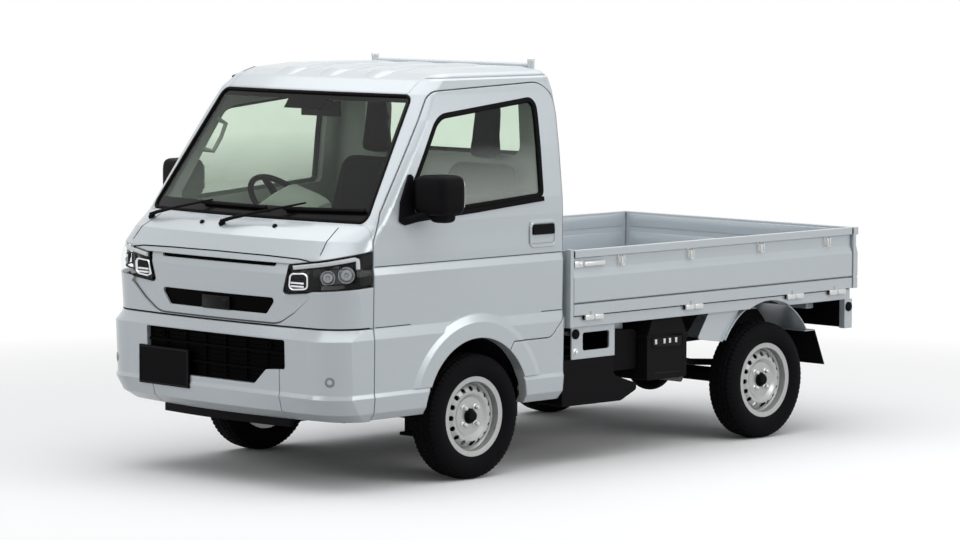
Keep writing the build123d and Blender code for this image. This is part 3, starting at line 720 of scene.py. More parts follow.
# Seals round the openings
DOOR_WINDOW = [(-455, 1128, 30), (-195, 1545, 110), (415, 1606, 35), (412, 1184, 25)]
REAR_WINDOW = [(-490, 1345, 45), (490, 1345, 45), (475, 1600, 45), (-475, 1600, 45)]
BELT = [(-445, 1118), (-250, 1130), (0, 1145), (200, 1160), (408, 1175)]
DOOR_INSET = 0.975
SCREEN = [(-SCREEN_BASE_X, SCREEN_BASE_Z, 30), (SCREEN_BASE_X, SCREEN_BASE_Z, 30),
          (SCREEN_TOP_X, SCREEN_TOP_Z, 40), (-SCREEN_TOP_X, SCREEN_TOP_Z, 40)]
# name, glass, outline, middle height, share of the outline across and up, y and direction and reach to lay
# it from, width and height of the strip
GLASS_SEALS = [
    ("rear_window_seal", "rear_window", REAR_WINDOW, 1472, (0.985, 0.95), (560, -1, 0.6), (22, 10)),
    ("windscreen_moulding", "windscreen", SCREEN, 1371, (0.99, 0.985), (-700, 1, 0.3), (14, 8)),
]


def add_seals():
    for name, side in SIDES.items():
        glass = surface_of(f"door_glass_{name}")
        panel = surface_of(f"door_{name}")
        bm = bmesh.new()
        ring = shrunk(spaced(rounded(DOOR_WINDOW), 40), DOOR_INSET)
        sweep(bm, [lay_side(glass, side, *p) for p in ring], pad(24, 12))
        strip(bm, [lay_side(panel, side, *p) for p in BELT], 20, 7)
        piece(f"window_seal_{name}", bm, RUBBER, f"door_{name}")
    for name, node, outline, middle, (across, up), (y, along, reach), section in GLASS_SEALS:
        glass = surface_of(node)
        bm = bmesh.new()
        ring = [at(p.x * across, y, middle + (p.y - middle) * up) for p in spaced(rounded(outline), 40)]
        sweep(bm, [lay(glass, p, (0, along, 0), reach) for p in ring], pad(*section))
        piece(name, bm, RUBBER)


# Door handles: a pressed cup with a black flap over its upper half
CUP = [(326, 972, 22), (480, 972, 22), (480, 1074, 22), (326, 1074, 22)]
FLAP = [(336, 1022, 10), (472, 1022, 10), (472, 1066, 16), (336, 1066, 16)]


def add_handles():
    for name, side in SIDES.items():
        panel = surface_of(f"door_{name}")
        bm = bmesh.new()
        ring = [lay_side(panel, side, *p) for p in spaced(rounded(CUP), 20)]
        sweep(bm, ring, pad(12, 4))
        piece(f"handle_cup_{name}", bm, PAINT, f"door_{name}")
        bm = bmesh.new()
        face = [lay_side(panel, side, *p) for p in spaced(rounded(FLAP), 20)]
        skin(bm, [[p + n * d * MM for p, n in face] for d in (-2, 6, 8)])
        piece(f"handle_flap_{name}", bm, PLASTIC, f"door_{name}")


# Headlamps, drawn on the plane square to the front corner: s along it, z up
CORNER = math.sqrt(0.5)
LAMP_OUTLINE = [(-297, 820, 14), (-190, 832, 20), (-170, 840, 20), (78, 857, 4), (78, 1006, 4),
                (-268, 948, 14)]
LED_LINE = [(-250, 934), (-120, 955), (6, 976), (18, 972), (20, 936)]
LAMP_END = [(30, 866, 6), (74, 868, 6), (74, 998, 6), (30, 988, 6)]
SMALL_LAMP = [(-268, 842, 16), (-190, 850, 16), (-190, 914, 16), (-262, 908, 16)]
# s, z, radius of the round reflectors
REFLECTORS = [(-28, 912, 31), (-104, 900, 27)]
LAMP_DEPTH, LAMP_CORNER_X = 32, 720
# Heights of the rails in the bowl and of the bars in the small lamp, s along them
RAILS_Z, RAIL_S, RAIL_RISE = (866, 930), range(-170, 20, 30), 0.06
SMALL_BARS_Z, SMALL_BAR_S = (858, 872), (-258, -230, -202)
BULB_PROFILE = [(-12, 9), (2, 9), (7, 6), (8, 0)]
# Least share of a lens face's normal that points straight out of the corner
LENS_FACING = 0.25


def add_headlamps():
    shape = surface_of("headlamps")

    def lamp_point(side, s, z, depth):
        place = at(s * CORNER + LAMP_CORNER_X, s * CORNER - LAMP_CORNER_X, z)
        inward = Vector((-CORNER, CORNER, 0))
        hit, _ = lay(shape, place, inward)
        hit = hit + inward * depth * MM
        return Vector((side * hit.x, hit.y, hit.z))

    for name, side in SIDES.items():
        outward = Vector((side * CORNER, -CORNER, 0))
        bm = bmesh.new()
        bm.from_mesh(nodes["headlamps"].data)
        others = [f for f in bm.faces
                  if f.normal.dot(outward) < LENS_FACING or f.calc_center_median().x * side < 0]
        bmesh.ops.delete(bm, geom=others, context="FACES")
        lens = piece(f"headlamp_lens_{name}", bm, LENS)
        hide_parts("headlamps")

        rim = spaced(rounded(LAMP_OUTLINE, 4), 30)
        edge = [lamp_point(side, *p, 3) for p in shrunk(rim, 0.97)]
        floor = [lamp_point(side, *p, LAMP_DEPTH) for p in shrunk(rim, 0.92)]
        bm = bmesh.new()
        skin(bm, [edge, floor], caps=False)
        bm.faces.new([bm.verts.new(p) for p in floor])
        skin(bm, [[lamp_point(side, *p, d) for p in spaced(rounded(LAMP_END, 3), 20)] for d in (10, 3)])
        for z in RAILS_Z:
            line = [(s, z + (s + 180) * RAIL_RISE) for s in RAIL_S]
            strip(bm, [(lamp_point(side, *p, 24), outward) for p in line], 5, 8)
        piece(f"headlamp_bowl_{name}", bm, GLOSS)

        bm = bmesh.new()
        line = spaced([Vector(p) for p in LED_LINE], 20, closed=False)
        strip(bm, [(lamp_point(side, *p, 9), outward) for p in line], 17, 6)
        piece(f"headlamp_strip_{name}", bm, LED)

        bm = bmesh.new()
        ring = spaced(rounded(SMALL_LAMP, 4), 12)
        sweep(bm, [(lamp_point(side, *p, 16), outward) for p in ring], pad(8, 8))
        for z in SMALL_BARS_Z:
            tube(bm, [lamp_point(side, s, z, 14) for s in SMALL_BAR_S], 5)
        piece(f"headlamp_small_lamp_{name}", bm, CHROME)
        bm = bmesh.new()
        for s, z, r in REFLECTORS:
            bowl = [(-14, 6), (-10, 0.55 * r), (-4, 0.8 * r), (2, r), (2, r + 3), (-6, r + 3)]
            turned(bm, bowl, lamp_point(side, s, z, 22), outward)
            turned(bm, BULB_PROFILE, lamp_point(side, s, z, 22), outward, 16)
        piece(f"headlamp_reflectors_{name}", bm, SMOKE)


# Grille: bars and slats in the bumper opening, radar block in the nose slot
# z, bar height, sideways half length
GRILLE_BARS = [(578, 12, 426), (503, 10, 308)]
SLATS_Z = [618, 600, 558, 540, 522, 484, 466]
RIBS_X = [-315, -190, -63, 63, 190, 315]
# Half width of the opening: full above a step, then from one (half width, z) to another below it
OPENING_HALF, OPENING_STEP_Z, OPENING_LOW, OPENING_HIGH = 426, 513, (242, 440), (316, 505)
RIB_TOP_Z, OUTER_RIB_X, OUTER_RIB_Z, RIB_Z = 632, 300, 512, 450
# Round fittings behind the bars
ROUND_X, ROUND_Z = (-345, 328), 606
ROUND_PROFILE = [(-2, 17), (9, 17), (12, 14), (12, 9), (6, 8), (6, 0)]
RADAR, RADAR_Z = ((-86, 733), (86, 790)), 760


def grille_half(z):
    if z >= OPENING_STEP_Z:
        return OPENING_HALF
    (low, z0), (high, z1) = OPENING_LOW, OPENING_HIGH
    return low + (z - z0) * (high - low) / (z1 - z0)


def add_grille():
    back = surface_of("front_grille")

    def across(z, half):
        return [lay_front(back, -half + 2 * half * k / 24, z) for k in range(25)]

    bm = bmesh.new()
    for z, height, half in GRILLE_BARS:
        strip(bm, across(z, half), height, 14)
    for z in SLATS_Z:
        strip(bm, across(z, grille_half(z)), 3.5, 7)
    for x in RIBS_X:
        base = OUTER_RIB_Z if abs(x) > OUTER_RIB_X else RIB_Z
        strip(bm, [lay_front(back, x, z) for z in range(base, RIB_TOP_Z, 20)], 4, 8)
    for x in ROUND_X:
        hit, _ = lay_front(back, x, ROUND_Z)
        turned(bm, ROUND_PROFILE, hit, (0, -1, 0), 24)
    piece("grille_bars", bm, GRILLE)
    bm = bmesh.new()
    (x0, z0), (x1, z1) = RADAR
    hit, _ = lay_front(back, 0, RADAR_Z)
    y = (hit.y - FRONT_AXLE) / MM
    block(bm, (x0, y - 14, z0), (x1, y + 3, z1), 4, 3)
    block(bm, (x0 + 12, y - 17, z0 + 10), (x1 - 12, y - 12, z1 - 12), 2)
    piece("radar_block", bm, GLOSS)


# Parking sensors in the bumper corners, each with two dark rings of painted shade, in the groove of its cap
# and round its edge
SENSOR_AT = (645, -780, 475)
SENSOR_PROFILE = [(-4, 17), (1.5, 17), (2.5, 15.5), (0.5, 13.5), (0.5, 12), (3, 11), (4, 7), (4, 0)]
SHADE_RING_PROFILES = [[(-1, 13.5), (2.2, 13.5), (2.2, 11), (-1, 11)], [(-1, 20), (0.8, 20), (0.8, 17), (-1, 17)]]


def add_sensors():
    bumper = surface_of("front_bumper")
    caps = bmesh.new()
    rings = bmesh.new()
    x, y, z = SENSOR_AT
    for side in SIDES.values():
        hit, normal = lay(bumper, at(side * x, y, z), (-side * CORNER, CORNER, 0))
        turned(caps, SENSOR_PROFILE, hit, normal, 28)
        # Dark rings that paint the shade in the cap's groove and round its edge
        for profile in SHADE_RING_PROFILES:
            turned(rings, profile, hit, normal, 28)
    piece("parking_sensors", caps, PAINT)
    piece("parking_sensor_shade_rings", rings, CREASE_SHADE)


# Wipers: pivot of each, then x and z of the arm's end and the blade's ends on the glass
WIPERS = [
    ((-590, -672, 1076), (-236, 1158), (-313, 1150), (105, 1150)),
    ((-78, -722, 1078), (326, 1172), (209, 1150), (640, 1160)),
]
PIVOT_PROFILE, ARM_R = [(-6, 15), (8, 15), (13, 11), (15, 0)], [9, 8, 6, 4]
WIPER_Y, BLADE_STEPS = -760, 12
NOZZLES, NOZZLE_Z = [(-212, -716), (231, -704)], 1072
NOZZLE_PROFILE = [(-3, 12), (4, 11), (9, 7), (11, 0)]


def add_wipers():
    glass = surface_of("windscreen")
    cowl = surface_of("nose_panel")

    def on_glass(x, z):
        return lay(glass, at(x, WIPER_Y, z), (0, 1, 0), 0.3)

    bm = bmesh.new()
    for pivot, arm_end, start, end in WIPERS:
        base, normal = lay(cowl, at(*pivot), (0, 0, -1))
        turned(bm, PIVOT_PROFILE, base, normal, 20)
        tip, out = on_glass(*arm_end)
        tip = tip + out * 24 * MM
        first = base + normal * 14 * MM
        bends = [first.lerp(tip, share) + out * 6 * MM for share in (0.12, 0.5)]
        tube(bm, [first, *bends, tip], ARM_R)
        steps = [Vector(start).lerp(Vector(end), k / BLADE_STEPS) for k in range(BLADE_STEPS + 1)]
        blade = [on_glass(*p) for p in steps]
        strip(bm, blade, 5, 14, -1)
        strip(bm, [(p + n * 11 * MM, n) for p, n in blade], 15, 7, 0)
    wipers = piece("wiper_set", bm, PLASTIC)
    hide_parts("wipers")
    bm = bmesh.new()
    for x, y in NOZZLES:
        hit, normal = lay(cowl, at(x, y, NOZZLE_Z), (0, 0, -1))
        turned(bm, NOZZLE_PROFILE, hit, normal, 16)
    piece("washer_nozzles", bm, PLASTIC)


# Roof: three raised bands that run out at their ends, and a folded aerial
BANDS_X, BANDS_Y, ROOF_Z = (-270, 0, 270), range(-200, 470, 16), 1760
BAND_HEIGHT, BAND_RUN_OUT = 8, 5
BAND_SECTION = [(-68, -2), (-68, 0.4), (-50, BAND_HEIGHT), (50, BAND_HEIGHT), (68, 0.4), (68, -2)]
AERIAL, AERIAL_R = [(-612, -180, 1672), (-604, -110, 1700), (-600, -60, 1716)], [9, 5, 3]
# End of the short rod at the aerial's joint
AERIAL_ROD = (-604, -82, 1696)


def add_roof_trim():
    roof = surface_of("roof_panel")
    bm = bmesh.new()
    for x in BANDS_X:
        line = [lay(roof, at(x, y, ROOF_Z), (0, 0, -1), 0.2) for y in BANDS_Y]
        places = []
        for i, (p, n) in enumerate(line):
            share = min(i, len(line) - 1 - i) / BAND_RUN_OUT
            sunk = (1 - min(share, 1)) * (BAND_HEIGHT + 1)
            places.append((p - n * sunk * MM, n))
        sweep(bm, places, BAND_SECTION, closed=False)
    piece("roof_bands", bm, PAINT)
    bm = bmesh.new()
    points = [at(*p) for p in AERIAL]
    tube(bm, points, AERIAL_R)
    tube(bm, [points[1], at(*AERIAL_ROD)], [3, 2])
    piece("aerial", bm, PLASTIC)


# Gate fittings: places are (along a gate, out from its recessed face, z), blocks are two such corners,
# rounding and its steps
GATE_X, TAIL_Y = 719, 2527
HOOK_LINE, HOOK_HALF, HOOK_R = [(0, 902), (14, 899), (16, 880), (14, 862), (0, 856)], 9, 3.5
HOOK_PLATE = [((-18, -1, 852), (18, 3, 908), 1.2)]
HINGE = [((-58, 0, 632), (-3, 12, 656), 3), ((3, 0, 632), (58, 12, 656), 3)]
INNER_RIBS_Z = ((672, 742), (768, 842), (868, 930))


def on_side_gate(side, along, out, z):
    return side * (GATE_X + out), along, z


def on_tail_gate(side, along, out, z):
    return side * along, TAIL_Y + out, z


def gate_blocks(bm, place, blocks, along=0, out=0):
    """Blocks on a gate, moved along it and outwards; place turns their corners into x, y, z."""
    for (a0, o0, z0), (a1, o1, z1), *rounding in blocks:
        block(bm, place(along + a0, out + o0, z0), place(along + a1, out + o1, z1), *rounding)


def add_hook(bm, place, along):
    """Rope hook on its plate."""
    for half in (-HOOK_HALF, HOOK_HALF):
        tube(bm, [at(*place(along + half, out, z)) for out, z in HOOK_LINE], HOOK_R)
    gate_blocks(bm, place, HOOK_PLATE, along)


# Side gates
HOOKS_Y = (904, 1364, 1850, 2328)
HINGES_Y, HINGE_OUT = (717, 1378, 2085, 2392), 10
# Bar across each hook: distance out and height
HOOK_BAR = (15, 862)
LATCH = [((596, 0, 864), (652, 14, 894), 4), ((654, 5, 866), (790, 19, 890), 7, 3)]
LATCH_BOLT, LATCH_BOLT_PROFILE = (634, 0, 879), [(0, 9), (16, 9), (18, 6), (18, 0)]
END_CAPS = [((586, -13, 908), (596, 17, 938), 3), ((2497, -13, 908), (2506, 17, 938), 3)]
HINGE_PAD = [((-63, 8, 634), (61, 12, 654), 1)]
# Dark strip of painted shade in the groove along each side gate
GATE_GROOVE = [((594, 7.5, 705.5), (2502, 9, 709.5), 0.5)]
GATE_RIBS = [((620, -18, z0), (2480, -13, z1), 2.4) for z0, z1 in INNER_RIBS_Z]


def add_gate_fittings():
    for name, side in SIDES.items():
        body = f"side_gate_{name}"
        place = partial(on_side_gate, side)
        bm = bmesh.new()
        for y in HOOKS_Y:
            add_hook(bm, place, y)
            tube(bm, [at(*place(y + half, *HOOK_BAR)) for half in (-HOOK_HALF, HOOK_HALF)], HOOK_R)
        for y in HINGES_Y:
            gate_blocks(bm, place, HINGE, y, HINGE_OUT)
        gate_blocks(bm, place, LATCH)
        turned(bm, LATCH_BOLT_PROFILE, at(*place(*LATCH_BOLT)), (side, 0, 0), 18)
        piece(f"gate_fittings_{name}", bm, ZINC, body)
        bm = bmesh.new()
        gate_blocks(bm, place, END_CAPS)
        for y in HINGES_Y:
            gate_blocks(bm, place, HINGE_PAD, y)
        piece(f"gate_end_caps_{name}", bm, RUBBER, body)
        # The groove strip is painted shade; the inner ribs are raised paint
        for form, blocks, look in (("groove_shade", GATE_GROOVE, CREASE_SHADE), ("inner_ribs", GATE_RIBS, PAINT)):
            bm = bmesh.new()
            gate_blocks(bm, place, blocks)
            piece(f"gate_{form}_{name}", bm, look, body)


# Tail gate: hooks, hinge plates and end latches on its outside, ribs on its inside
TAIL_HOOKS_X = (-420, 0, 420)
TAIL_HINGES_X, TAIL_HINGE_OUT = (-560, 0, 560), 6
TAIL_LATCH = [((660, 0, 864), (726, 14, 894), 4), ((520, 5, 866), (655, 19, 890), 6, 3)]
TAIL_RIBS = [((-680, -21, z0), (680, -16, z1), 2.4) for z0, z1 in INNER_RIBS_Z]


def add_tail_gate_fittings():
    place = partial(on_tail_gate, 1)
    bm = bmesh.new()
    for x in TAIL_HOOKS_X:
        add_hook(bm, place, x)
    for x in TAIL_HINGES_X:
        gate_blocks(bm, place, HINGE, x, TAIL_HINGE_OUT)
    for side in SIDES.values():
        gate_blocks(bm, partial(on_tail_gate, side), TAIL_LATCH)
    piece("tail_gate_fittings", bm, ZINC, "tail_gate")
    bm = bmesh.new()
    gate_blocks(bm, place, TAIL_RIBS)
    piece("tail_gate_inner_ribs", bm, PAINT, "tail_gate")


# Bed: ribs of the floor and the guard panel, dark strips along the sides that paint the shadow line under the
# side gates, caps on the guard posts
FLOOR_RIBS_X, RIB_LOW_Z, RIB_HIGH_Z = range(-600, 601, 120), 649, 653.5
GUARD_RIBS_Z = ((690, 750), (790, 850))
POST_AT = (488, 571, 1765)
POST_PROFILE = [(-16, 15.2), (-14, 16.5), (0, 16.5), (4, 13), (5.5, 7), (6, 0)]


def add_bed_details():
    bm = bmesh.new()
    for x in FLOOR_RIBS_X:
        block(bm, (x - 24, 604, RIB_LOW_Z), (x + 24, 2486, RIB_HIGH_Z), 2)
    for z0, z1 in GUARD_RIBS_Z:
        block(bm, (-640, 574, z0), (640, 580, z1), 2.8)
    piece("bed_ribs", bm, PAINT)
    bm = bmesh.new()
    # Dark strips in the gap under the side gates: they block the light there and paint its shadow line
    for side in SIDES.values():
        block(bm, (side * 712, 594, RIB_LOW_Z), (side * 721, 2498, RIB_HIGH_Z), 1)
    piece("gate_gap_shade_strips", bm, RUBBER)
    bm = bmesh.new()
    x, y, z = POST_AT
    for side in SIDES.values():
        turned(bm, POST_PROFILE, at(side * x, y, z), (0, 0, 1), 24)
    piece("guard_post_caps", bm, ZINC)


# Below the bed: rubber stop and bolt on the side plates, stops on the rear posts, face of the battery box
STOP_AT, BOLT_AT, REAR_STOP_AT = (698, 637, 571), (698, 639, 491), (722, 2491, 568)
STOP_PROFILE = [(-2, 22), (5, 22), (8, 19), (9, 8), (9, 0)]
BOLT_PROFILE = [(-2, 18), (2, 18), (4, 13), (3, 11), (9, 10), (11, 7), (11, 0)]
BOX_SLOT = [(1148, 474, 14), (1352, 466, 14), (1352, 520, 14), (1148, 528, 14)]
BOX_GROOVE = [(1158, 354, 2), (1340, 350, 2), (1340, 357, 2), (1158, 361, 2)]
BOX_TABS_Y = (1165, 1222, 1258, 1300)
BOX_FACE_X = 690
BOX_RIMS = [((426, 1108, 512), (694, 1386, 528), 4), ((426, 1146, 600), (694, 1344, 603.5), 1.5)]


def add_side_details():
    stops = bmesh.new()
    bolts = bmesh.new()
    for side in SIDES.values():
        for x, y, z in (STOP_AT, REAR_STOP_AT):
            turned(stops, STOP_PROFILE, at(side * x, y, z), (side, 0, 0), 28)
        x, y, z = BOLT_AT
        turned(bolts, BOLT_PROFILE, at(side * x, y, z), (side, 0, 0), 24)
    piece("rubber_stops", stops, RUBBER)
    piece("side_plate_bolts", bolts, ZINC)
    bm = bmesh.new()
    side_plate(bm, BOX_SLOT, 1, BOX_FACE_X, 1.2, 0.4)
    side_plate(bm, BOX_GROOVE, 1, BOX_FACE_X, 0.8, 0.3)
    piece("battery_box_slot", bm, GLOSS)
    bm = bmesh.new()
    ring = [(at(BOX_FACE_X, p.x, p.y), Vector((1, 0, 0))) for p in spaced(rounded(BOX_SLOT, 4), 30)]
    sweep(bm, ring, pad(7, 4))
    for rim in BOX_RIMS:
        block(bm, *rim)
    piece("battery_box_rims", bm, GREY)
    bm = bmesh.new()
    for y in BOX_TABS_Y:
        block(bm, (BOX_FACE_X, y, 486), (BOX_FACE_X + 2.5, y + 14, 508), 1)
    piece("battery_box_tabs", bm, ZINC)


# Rear lamps: amber and clear windows on the red lens, name, look and x from and to
LAMP_WINDOWS = [("amber", AMBER, 600, 646), ("clear", LED, 552, 592)]


def add_rear_lamps():
    for name, look, x0, x1 in LAMP_WINDOWS:
        bm = bmesh.new()
        for side in SIDES.values():
            block(bm, (side * x0, 2520, 511), (side * x1, 2525, 584), 2)
        piece(f"rear_lamp_{name}", bm, look)


# Raised edges of the blank number plates: x and z outline, y to lay them from
PLATE_EDGES = [
    ([(-474, 391, 8), (-158, 391, 8), (-158, 543, 8), (-474, 543, 8)], -800, 1),
    ([(-158, 447, 8), (158, 447, 8), (158, 596, 8), (-158, 596, 8)], 2520, -1),
]


def add_plate_edges():
    plates = surface_of("number_plates")
    bm = bmesh.new()
    for outline, y, along in PLATE_EDGES:
        ring = [lay(plates, at(p.x, y, p.y), (0, along, 0), 0.1) for p in spaced(rounded(outline, 4), 30)]
        sweep(bm, ring, pad(5, 2.2))
    piece("plate_edges", bm, GLOSS)


# Lines of the nose: the front lid's shut lines across it and up to the windscreen corners, the gap above
# the bumper and a dark strip of painted shade along the edge of the recess
LID_LINE = [(-566, 962), (-490, 971), (-300, 976), (0, 978), (300, 976), (490, 971), (566, 962)]
# Middle of the arc along which the gap is laid, and its angles
GAP_CENTRE, GAP_ANGLES = (0, -500, 690), range(-80, 81)
RECESS_EDGE = [(-552, 812, 0), (-470, 750, 100), (-376, 697, 150), (376, 697, 150), (470, 750, 100),
               (552, 812, 0)]
LID_SIDE = [(588, -779, 990), (584, -755, 1022), (578, -725, 1050), (566, -685, 1078), (558, -650, 1097)]


def add_lid_lines():
    nose = surface_of("nose_panel")
    bm = bmesh.new()
    line = spaced([Vector(p) for p in LID_LINE], 30, closed=False)
    strip(bm, [lay_front(nose, *p) for p in line], 6, 0.6, 1.5)
    for side in SIDES.values():
        edge = spaced([at(side * x, y, z) for x, y, z in LID_SIDE], 0.008, closed=False)
        strip(bm, [lay(nose, p, (0, 0.6, -0.8), 0.1) for p in edge], 4, 1.0, 1.5)
    turns = [math.radians(a) for a in GAP_ANGLES]
    gap = [lay(nose, at(*GAP_CENTRE), (-math.sin(a), math.cos(a), 0), 1.2) for a in turns]
    strip(bm, gap, 5, 1.0, 1.5)
    piece("lid_lines", bm, RUBBER)
    # Dark strip of painted shade along the edge of the recess
    bm = bmesh.new()
    edge = spaced(rounded(RECESS_EDGE, 10), 12, closed=False)
    strip(bm, [lay_front(nose, *p) for p in edge], 7, 1.0, 1.5)
    piece("recess_edge_shade", bm, CREASE_SHADE)


# Dark strips that paint the shade along the pressed creases of the doors: z, y from, y to
DOOR_CREASES = [(940, -598, 522), (689, -598, -392), (689, 396, 522)]


def add_door_creases():
    for name, side in SIDES.items():
        door = surface_of(f"door_{name}")
        bm = bmesh.new()
        for z, y0, y1 in DOOR_CREASES:
            line = [lay_side(door, side, y0 + (y1 - y0) * k / 40, z) for k in range(41)]
            # Each strip is painted shade along a crease
            strip(bm, line, 4.5, 0.5, 1.5)
        piece(f"door_crease_shade_{name}", bm, CREASE_SHADE, f"door_{name}")


# Seats: each form is puffed out once as cloth and set in both places
SEAT_X = 340
# name, side outline (y, z, radius), half width, narrowing towards the top, furthest movement
SEAT_FORMS = [
    ("cushion", [(-184, 656, 18), (-198, 736, 36), (60, 724, 0), (270, 712, 16), (270, 656, 16)], 230, 0.0,
     10),
    ("back", [(242, 708, 18), (326, 706, 26), (472, 1316, 28), (403, 1324, 30)], 226, 0.12, 10),
    ("headrest", [(406, 1336, 12), (468, 1332, 12), (484, 1576, 24), (430, 1580, 24)], 76, 0.2, 6),
]
VOXEL, CLOTH_FRAMES, CLOTH_PRESSURE, SMOOTHING = 7, 20, 4, 6
# Seams: x of the long ones, steps across a seat, steps along the cushion and up the back
SEAM_X, ACROSS = (-130, 130), range(-120, 121, 20)
CUSHION_SEAM_Y, BACK_SEAM_Z = range(-160, 241, 20), range(760, 1281, 20)
# Height above the cushion to lay seams from, and the sloping line before the back: y, z at its foot, slope
CUSHION_TOP_Z, BACK_FOOT, BACK_SLOPE = 760, (200, 700), 0.26


def seat_form(outline, half, narrowing, levels=24):
    line = spaced(rounded(outline, 5), 24)
    low, high = min(p.y for p in line), max(p.y for p in line)
    bm = bmesh.new()
    rings = []
    for t, share in bulge(levels, 8, 0.05):
        ring = shrunk(line, share)
        rings.append([at(t * half * (1 - narrowing * (p.y - low) / (high - low)), p.x, p.y) for p in ring])
    skin(bm, rings)
    bmesh.ops.recalc_face_normals(bm, faces=bm.faces)
    return bm


def puffed(name, bm, limit):
    """Even mesh of a closed form, blown out as cloth; no point moves further than the limit."""
    form = object_from(name, bm)
    remesh = form.modifiers.new("even", "REMESH")
    remesh.mode = "VOXEL"
    remesh.voxel_size = VOXEL * MM
    even = bpy.data.meshes.new_from_object(form.evaluated_get(bpy.context.evaluated_depsgraph_get()))
    form.modifiers.clear()
    form.data = even
    cloth = form.modifiers.new("stuffing", "CLOTH")
    cloth.settings.use_pressure = True
    cloth.settings.uniform_pressure_force = CLOTH_PRESSURE
    cloth.settings.effector_weights.gravity = 0
    for step in range(1, CLOTH_FRAMES + 1):
        scene.frame_set(step)
    moved = form.evaluated_get(bpy.context.evaluated_depsgraph_get()).data
    shifts = [b.co - a.co for a, b in zip(even.vertices, moved.vertices)]
    form.modifiers.clear()
    scene.frame_set(1)
    for vertex, shift in zip(even.vertices, shifts):
        vertex.co += shift * min(1, limit * MM / max(shift.length, 1e-9))
    bpy.data.objects.remove(form)
    bm = bmesh.new()
    bm.from_mesh(even)
    for step in range(SMOOTHING):
        bmesh.ops.smooth_vert(bm, verts=bm.verts, factor=0.5, use_axis_x=True, use_axis_y=True,
                              use_axis_z=True)
    bm.to_mesh(even)
    bm.free()
    return even


def add_seats():
    surfaces = {}
    for form, outline, half, narrowing, limit in SEAT_FORMS:
        mesh = puffed(f"seat_form_{form}", seat_form(outline, half, narrowing), limit)
        bm = bmesh.new()
        bm.from_mesh(mesh)
        surfaces[form] = BVHTree.FromBMesh(bm)
        bm.free()
        for name, side in SIDES.items():
            bm = bmesh.new()
            bm.from_mesh(mesh)
            bmesh.ops.translate(bm, verts=bm.verts, vec=(side * SEAT_X * MM, 0, 0))
            pad_piece = piece(f"seat_{form}_{name}", bm, FABRIC, sharp=70)
            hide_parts("seats")

    def on_cushion(x, y):
        return lay(surfaces["cushion"], at(x, y, CUSHION_TOP_Z), (0, 0, -1), 0.1)

    def on_back(x, y, z):
        return lay(surfaces["back"], at(x, y, z), (0, 1, 0), 0.1)

    lines = [[on_cushion(x, 30) for x in ACROSS], [on_back(x, 250, 1000) for x in ACROSS]]
    foot_y, foot_z = BACK_FOOT
    for x in SEAM_X:
        lines.append([on_cushion(x, y) for y in CUSHION_SEAM_Y])
        lines.append([on_back(x, foot_y + (z - foot_z) * BACK_SLOPE, z) for z in BACK_SEAM_Z])
    for name, side in SIDES.items():
        bm = bmesh.new()
        for line in lines:
            strip(bm, line, 5, 1.5)
        bmesh.ops.translate(bm, verts=bm.verts, vec=(side * SEAT_X * MM, 0, 0))
        piece(f"seat_seams_{name}", bm, PIPING)


# Cab fittings: dashboard details, gear lever, grab handles, sun visors, sensor housing, door linings
GRAB_HANDLE = [(-628, -262, 1492), (-596, -238, 1470), (-590, -272, 1412), (-596, -312, 1352),
               (-632, -340, 1360)]
GRAB_R = [12, 10, 9, 10, 12]
LEVER, LEVER_R = [(20, -150, 645), (18, -165, 760), (12, -185, 880), (10, -188, 905)], [16, 9, 8, 8]
KNOB_PROFILE = [(0, 9), (8, 19), (26, 22), (42, 17), (48, 0)]
VISOR_X = ((-540, -100), (100, 540))
# Raised middle of the dashboard: x and z across it, then y and share of the height along it
POD_BASE_Z = 1080
POD_ACROSS = [(-215, 1080), (-190, 1098), (-110, 1160), (-20, 1222), (10, 1236), (45, 1238), (180, 1206),
              (228, 1188), (246, 1170), (252, 1080)]
POD_ALONG = [(-552, 0.30), (-530, 0.62), (-480, 0.86), (-420, 1.0), (-404, 1.0), (-396, 0.95), (-392, 0.2)]
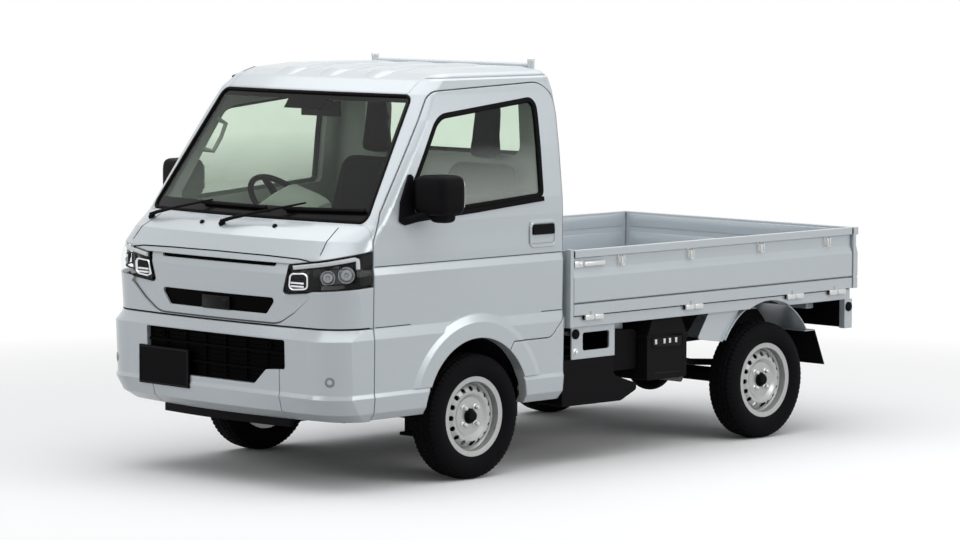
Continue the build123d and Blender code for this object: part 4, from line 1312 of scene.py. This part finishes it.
# Hood before the driver, middle console and glove box as corners, rounding and its steps
DASH_BLOCKS = [
    ((-470, -560, 1066), (-210, -425, 1126), 26, 5),
    ((-105, -440, 955), (105, -372, 1070), 12, 3),
    ((150, -412, 880), (570, -384, 975), 10, 3),
]
VENTS_X, VENT_PROFILE = (-585, -150, 150, 585), [(0, 34), (12, 34), (15, 30), (8, 26), (8, 0)]
DOOR_PULL, DOOR_PULL_R = [(668, 120, 1010), (640, 135, 1012), (640, 205, 1012), (668, 220, 1010)], 7


def add_cab_fittings():
    bm = bmesh.new()
    rise = [(x, z - POD_BASE_Z) for x, z in POD_ACROSS]
    skin(bm, [[at(x, y, POD_BASE_Z + up * share) for x, up in rise] for y, share in POD_ALONG])
    for form in DASH_BLOCKS:
        block(bm, *form)
    for x in VENTS_X:
        turned(bm, VENT_PROFILE, at(x, -392, 1030), (0, 1, 0.25), 24)
    piece("dash_fittings", bm, DASH)
    bm = bmesh.new()
    block(bm, (-90, -374, 985), (90, -369, 1060), 2)
    tube(bm, [at(*p) for p in LEVER], LEVER_R)
    turned(bm, KNOB_PROFILE, at(*LEVER[-1]), (0, 0, 1), 20)
    piece("gear_lever", bm, PLASTIC)
    bm = bmesh.new()
    for side in SIDES.values():
        tube(bm, [at(side * x, y, z) for x, y, z in GRAB_HANDLE], GRAB_R, 12)
    for x0, x1 in VISOR_X:
        block(bm, (x0, -195, 1640), (x1, -50, 1656), 6, 3)
    piece("grab_handles_and_visors", bm, TRIM)
    bm = bmesh.new()
    block(bm, (-70, -285, 1560), (70, -215, 1612), 14, 4)
    piece("screen_sensor_housing", bm, PLASTIC)
    for name, side in SIDES.items():
        bm = bmesh.new()
        block(bm, (side * 666, -350, 720), (side * 684, 400, 1050), 6, 3)
        block(bm, (side * 610, -180, 900), (side * 672, 260, 950), 18, 4)
        tube(bm, [at(side * x, y, z) for x, y, z in DOOR_PULL], DOOR_PULL_R)
        piece(f"door_lining_{name}", bm, DASH, f"door_{name}")


add_camera()
add_floor()
add_world()
add_lamps()
dress_nodes()
add_wheels()
add_mirrors()
add_seals()
add_handles()
add_headlamps()
add_grille()
add_sensors()
add_wipers()
add_roof_trim()
add_gate_fittings()
add_tail_gate_fittings()
add_bed_details()
add_side_details()
add_rear_lamps()
add_plate_edges()
add_lid_lines()
add_door_creases()
add_cab_fittings()
add_seats()

scene.view_settings.view_transform = "Standard"
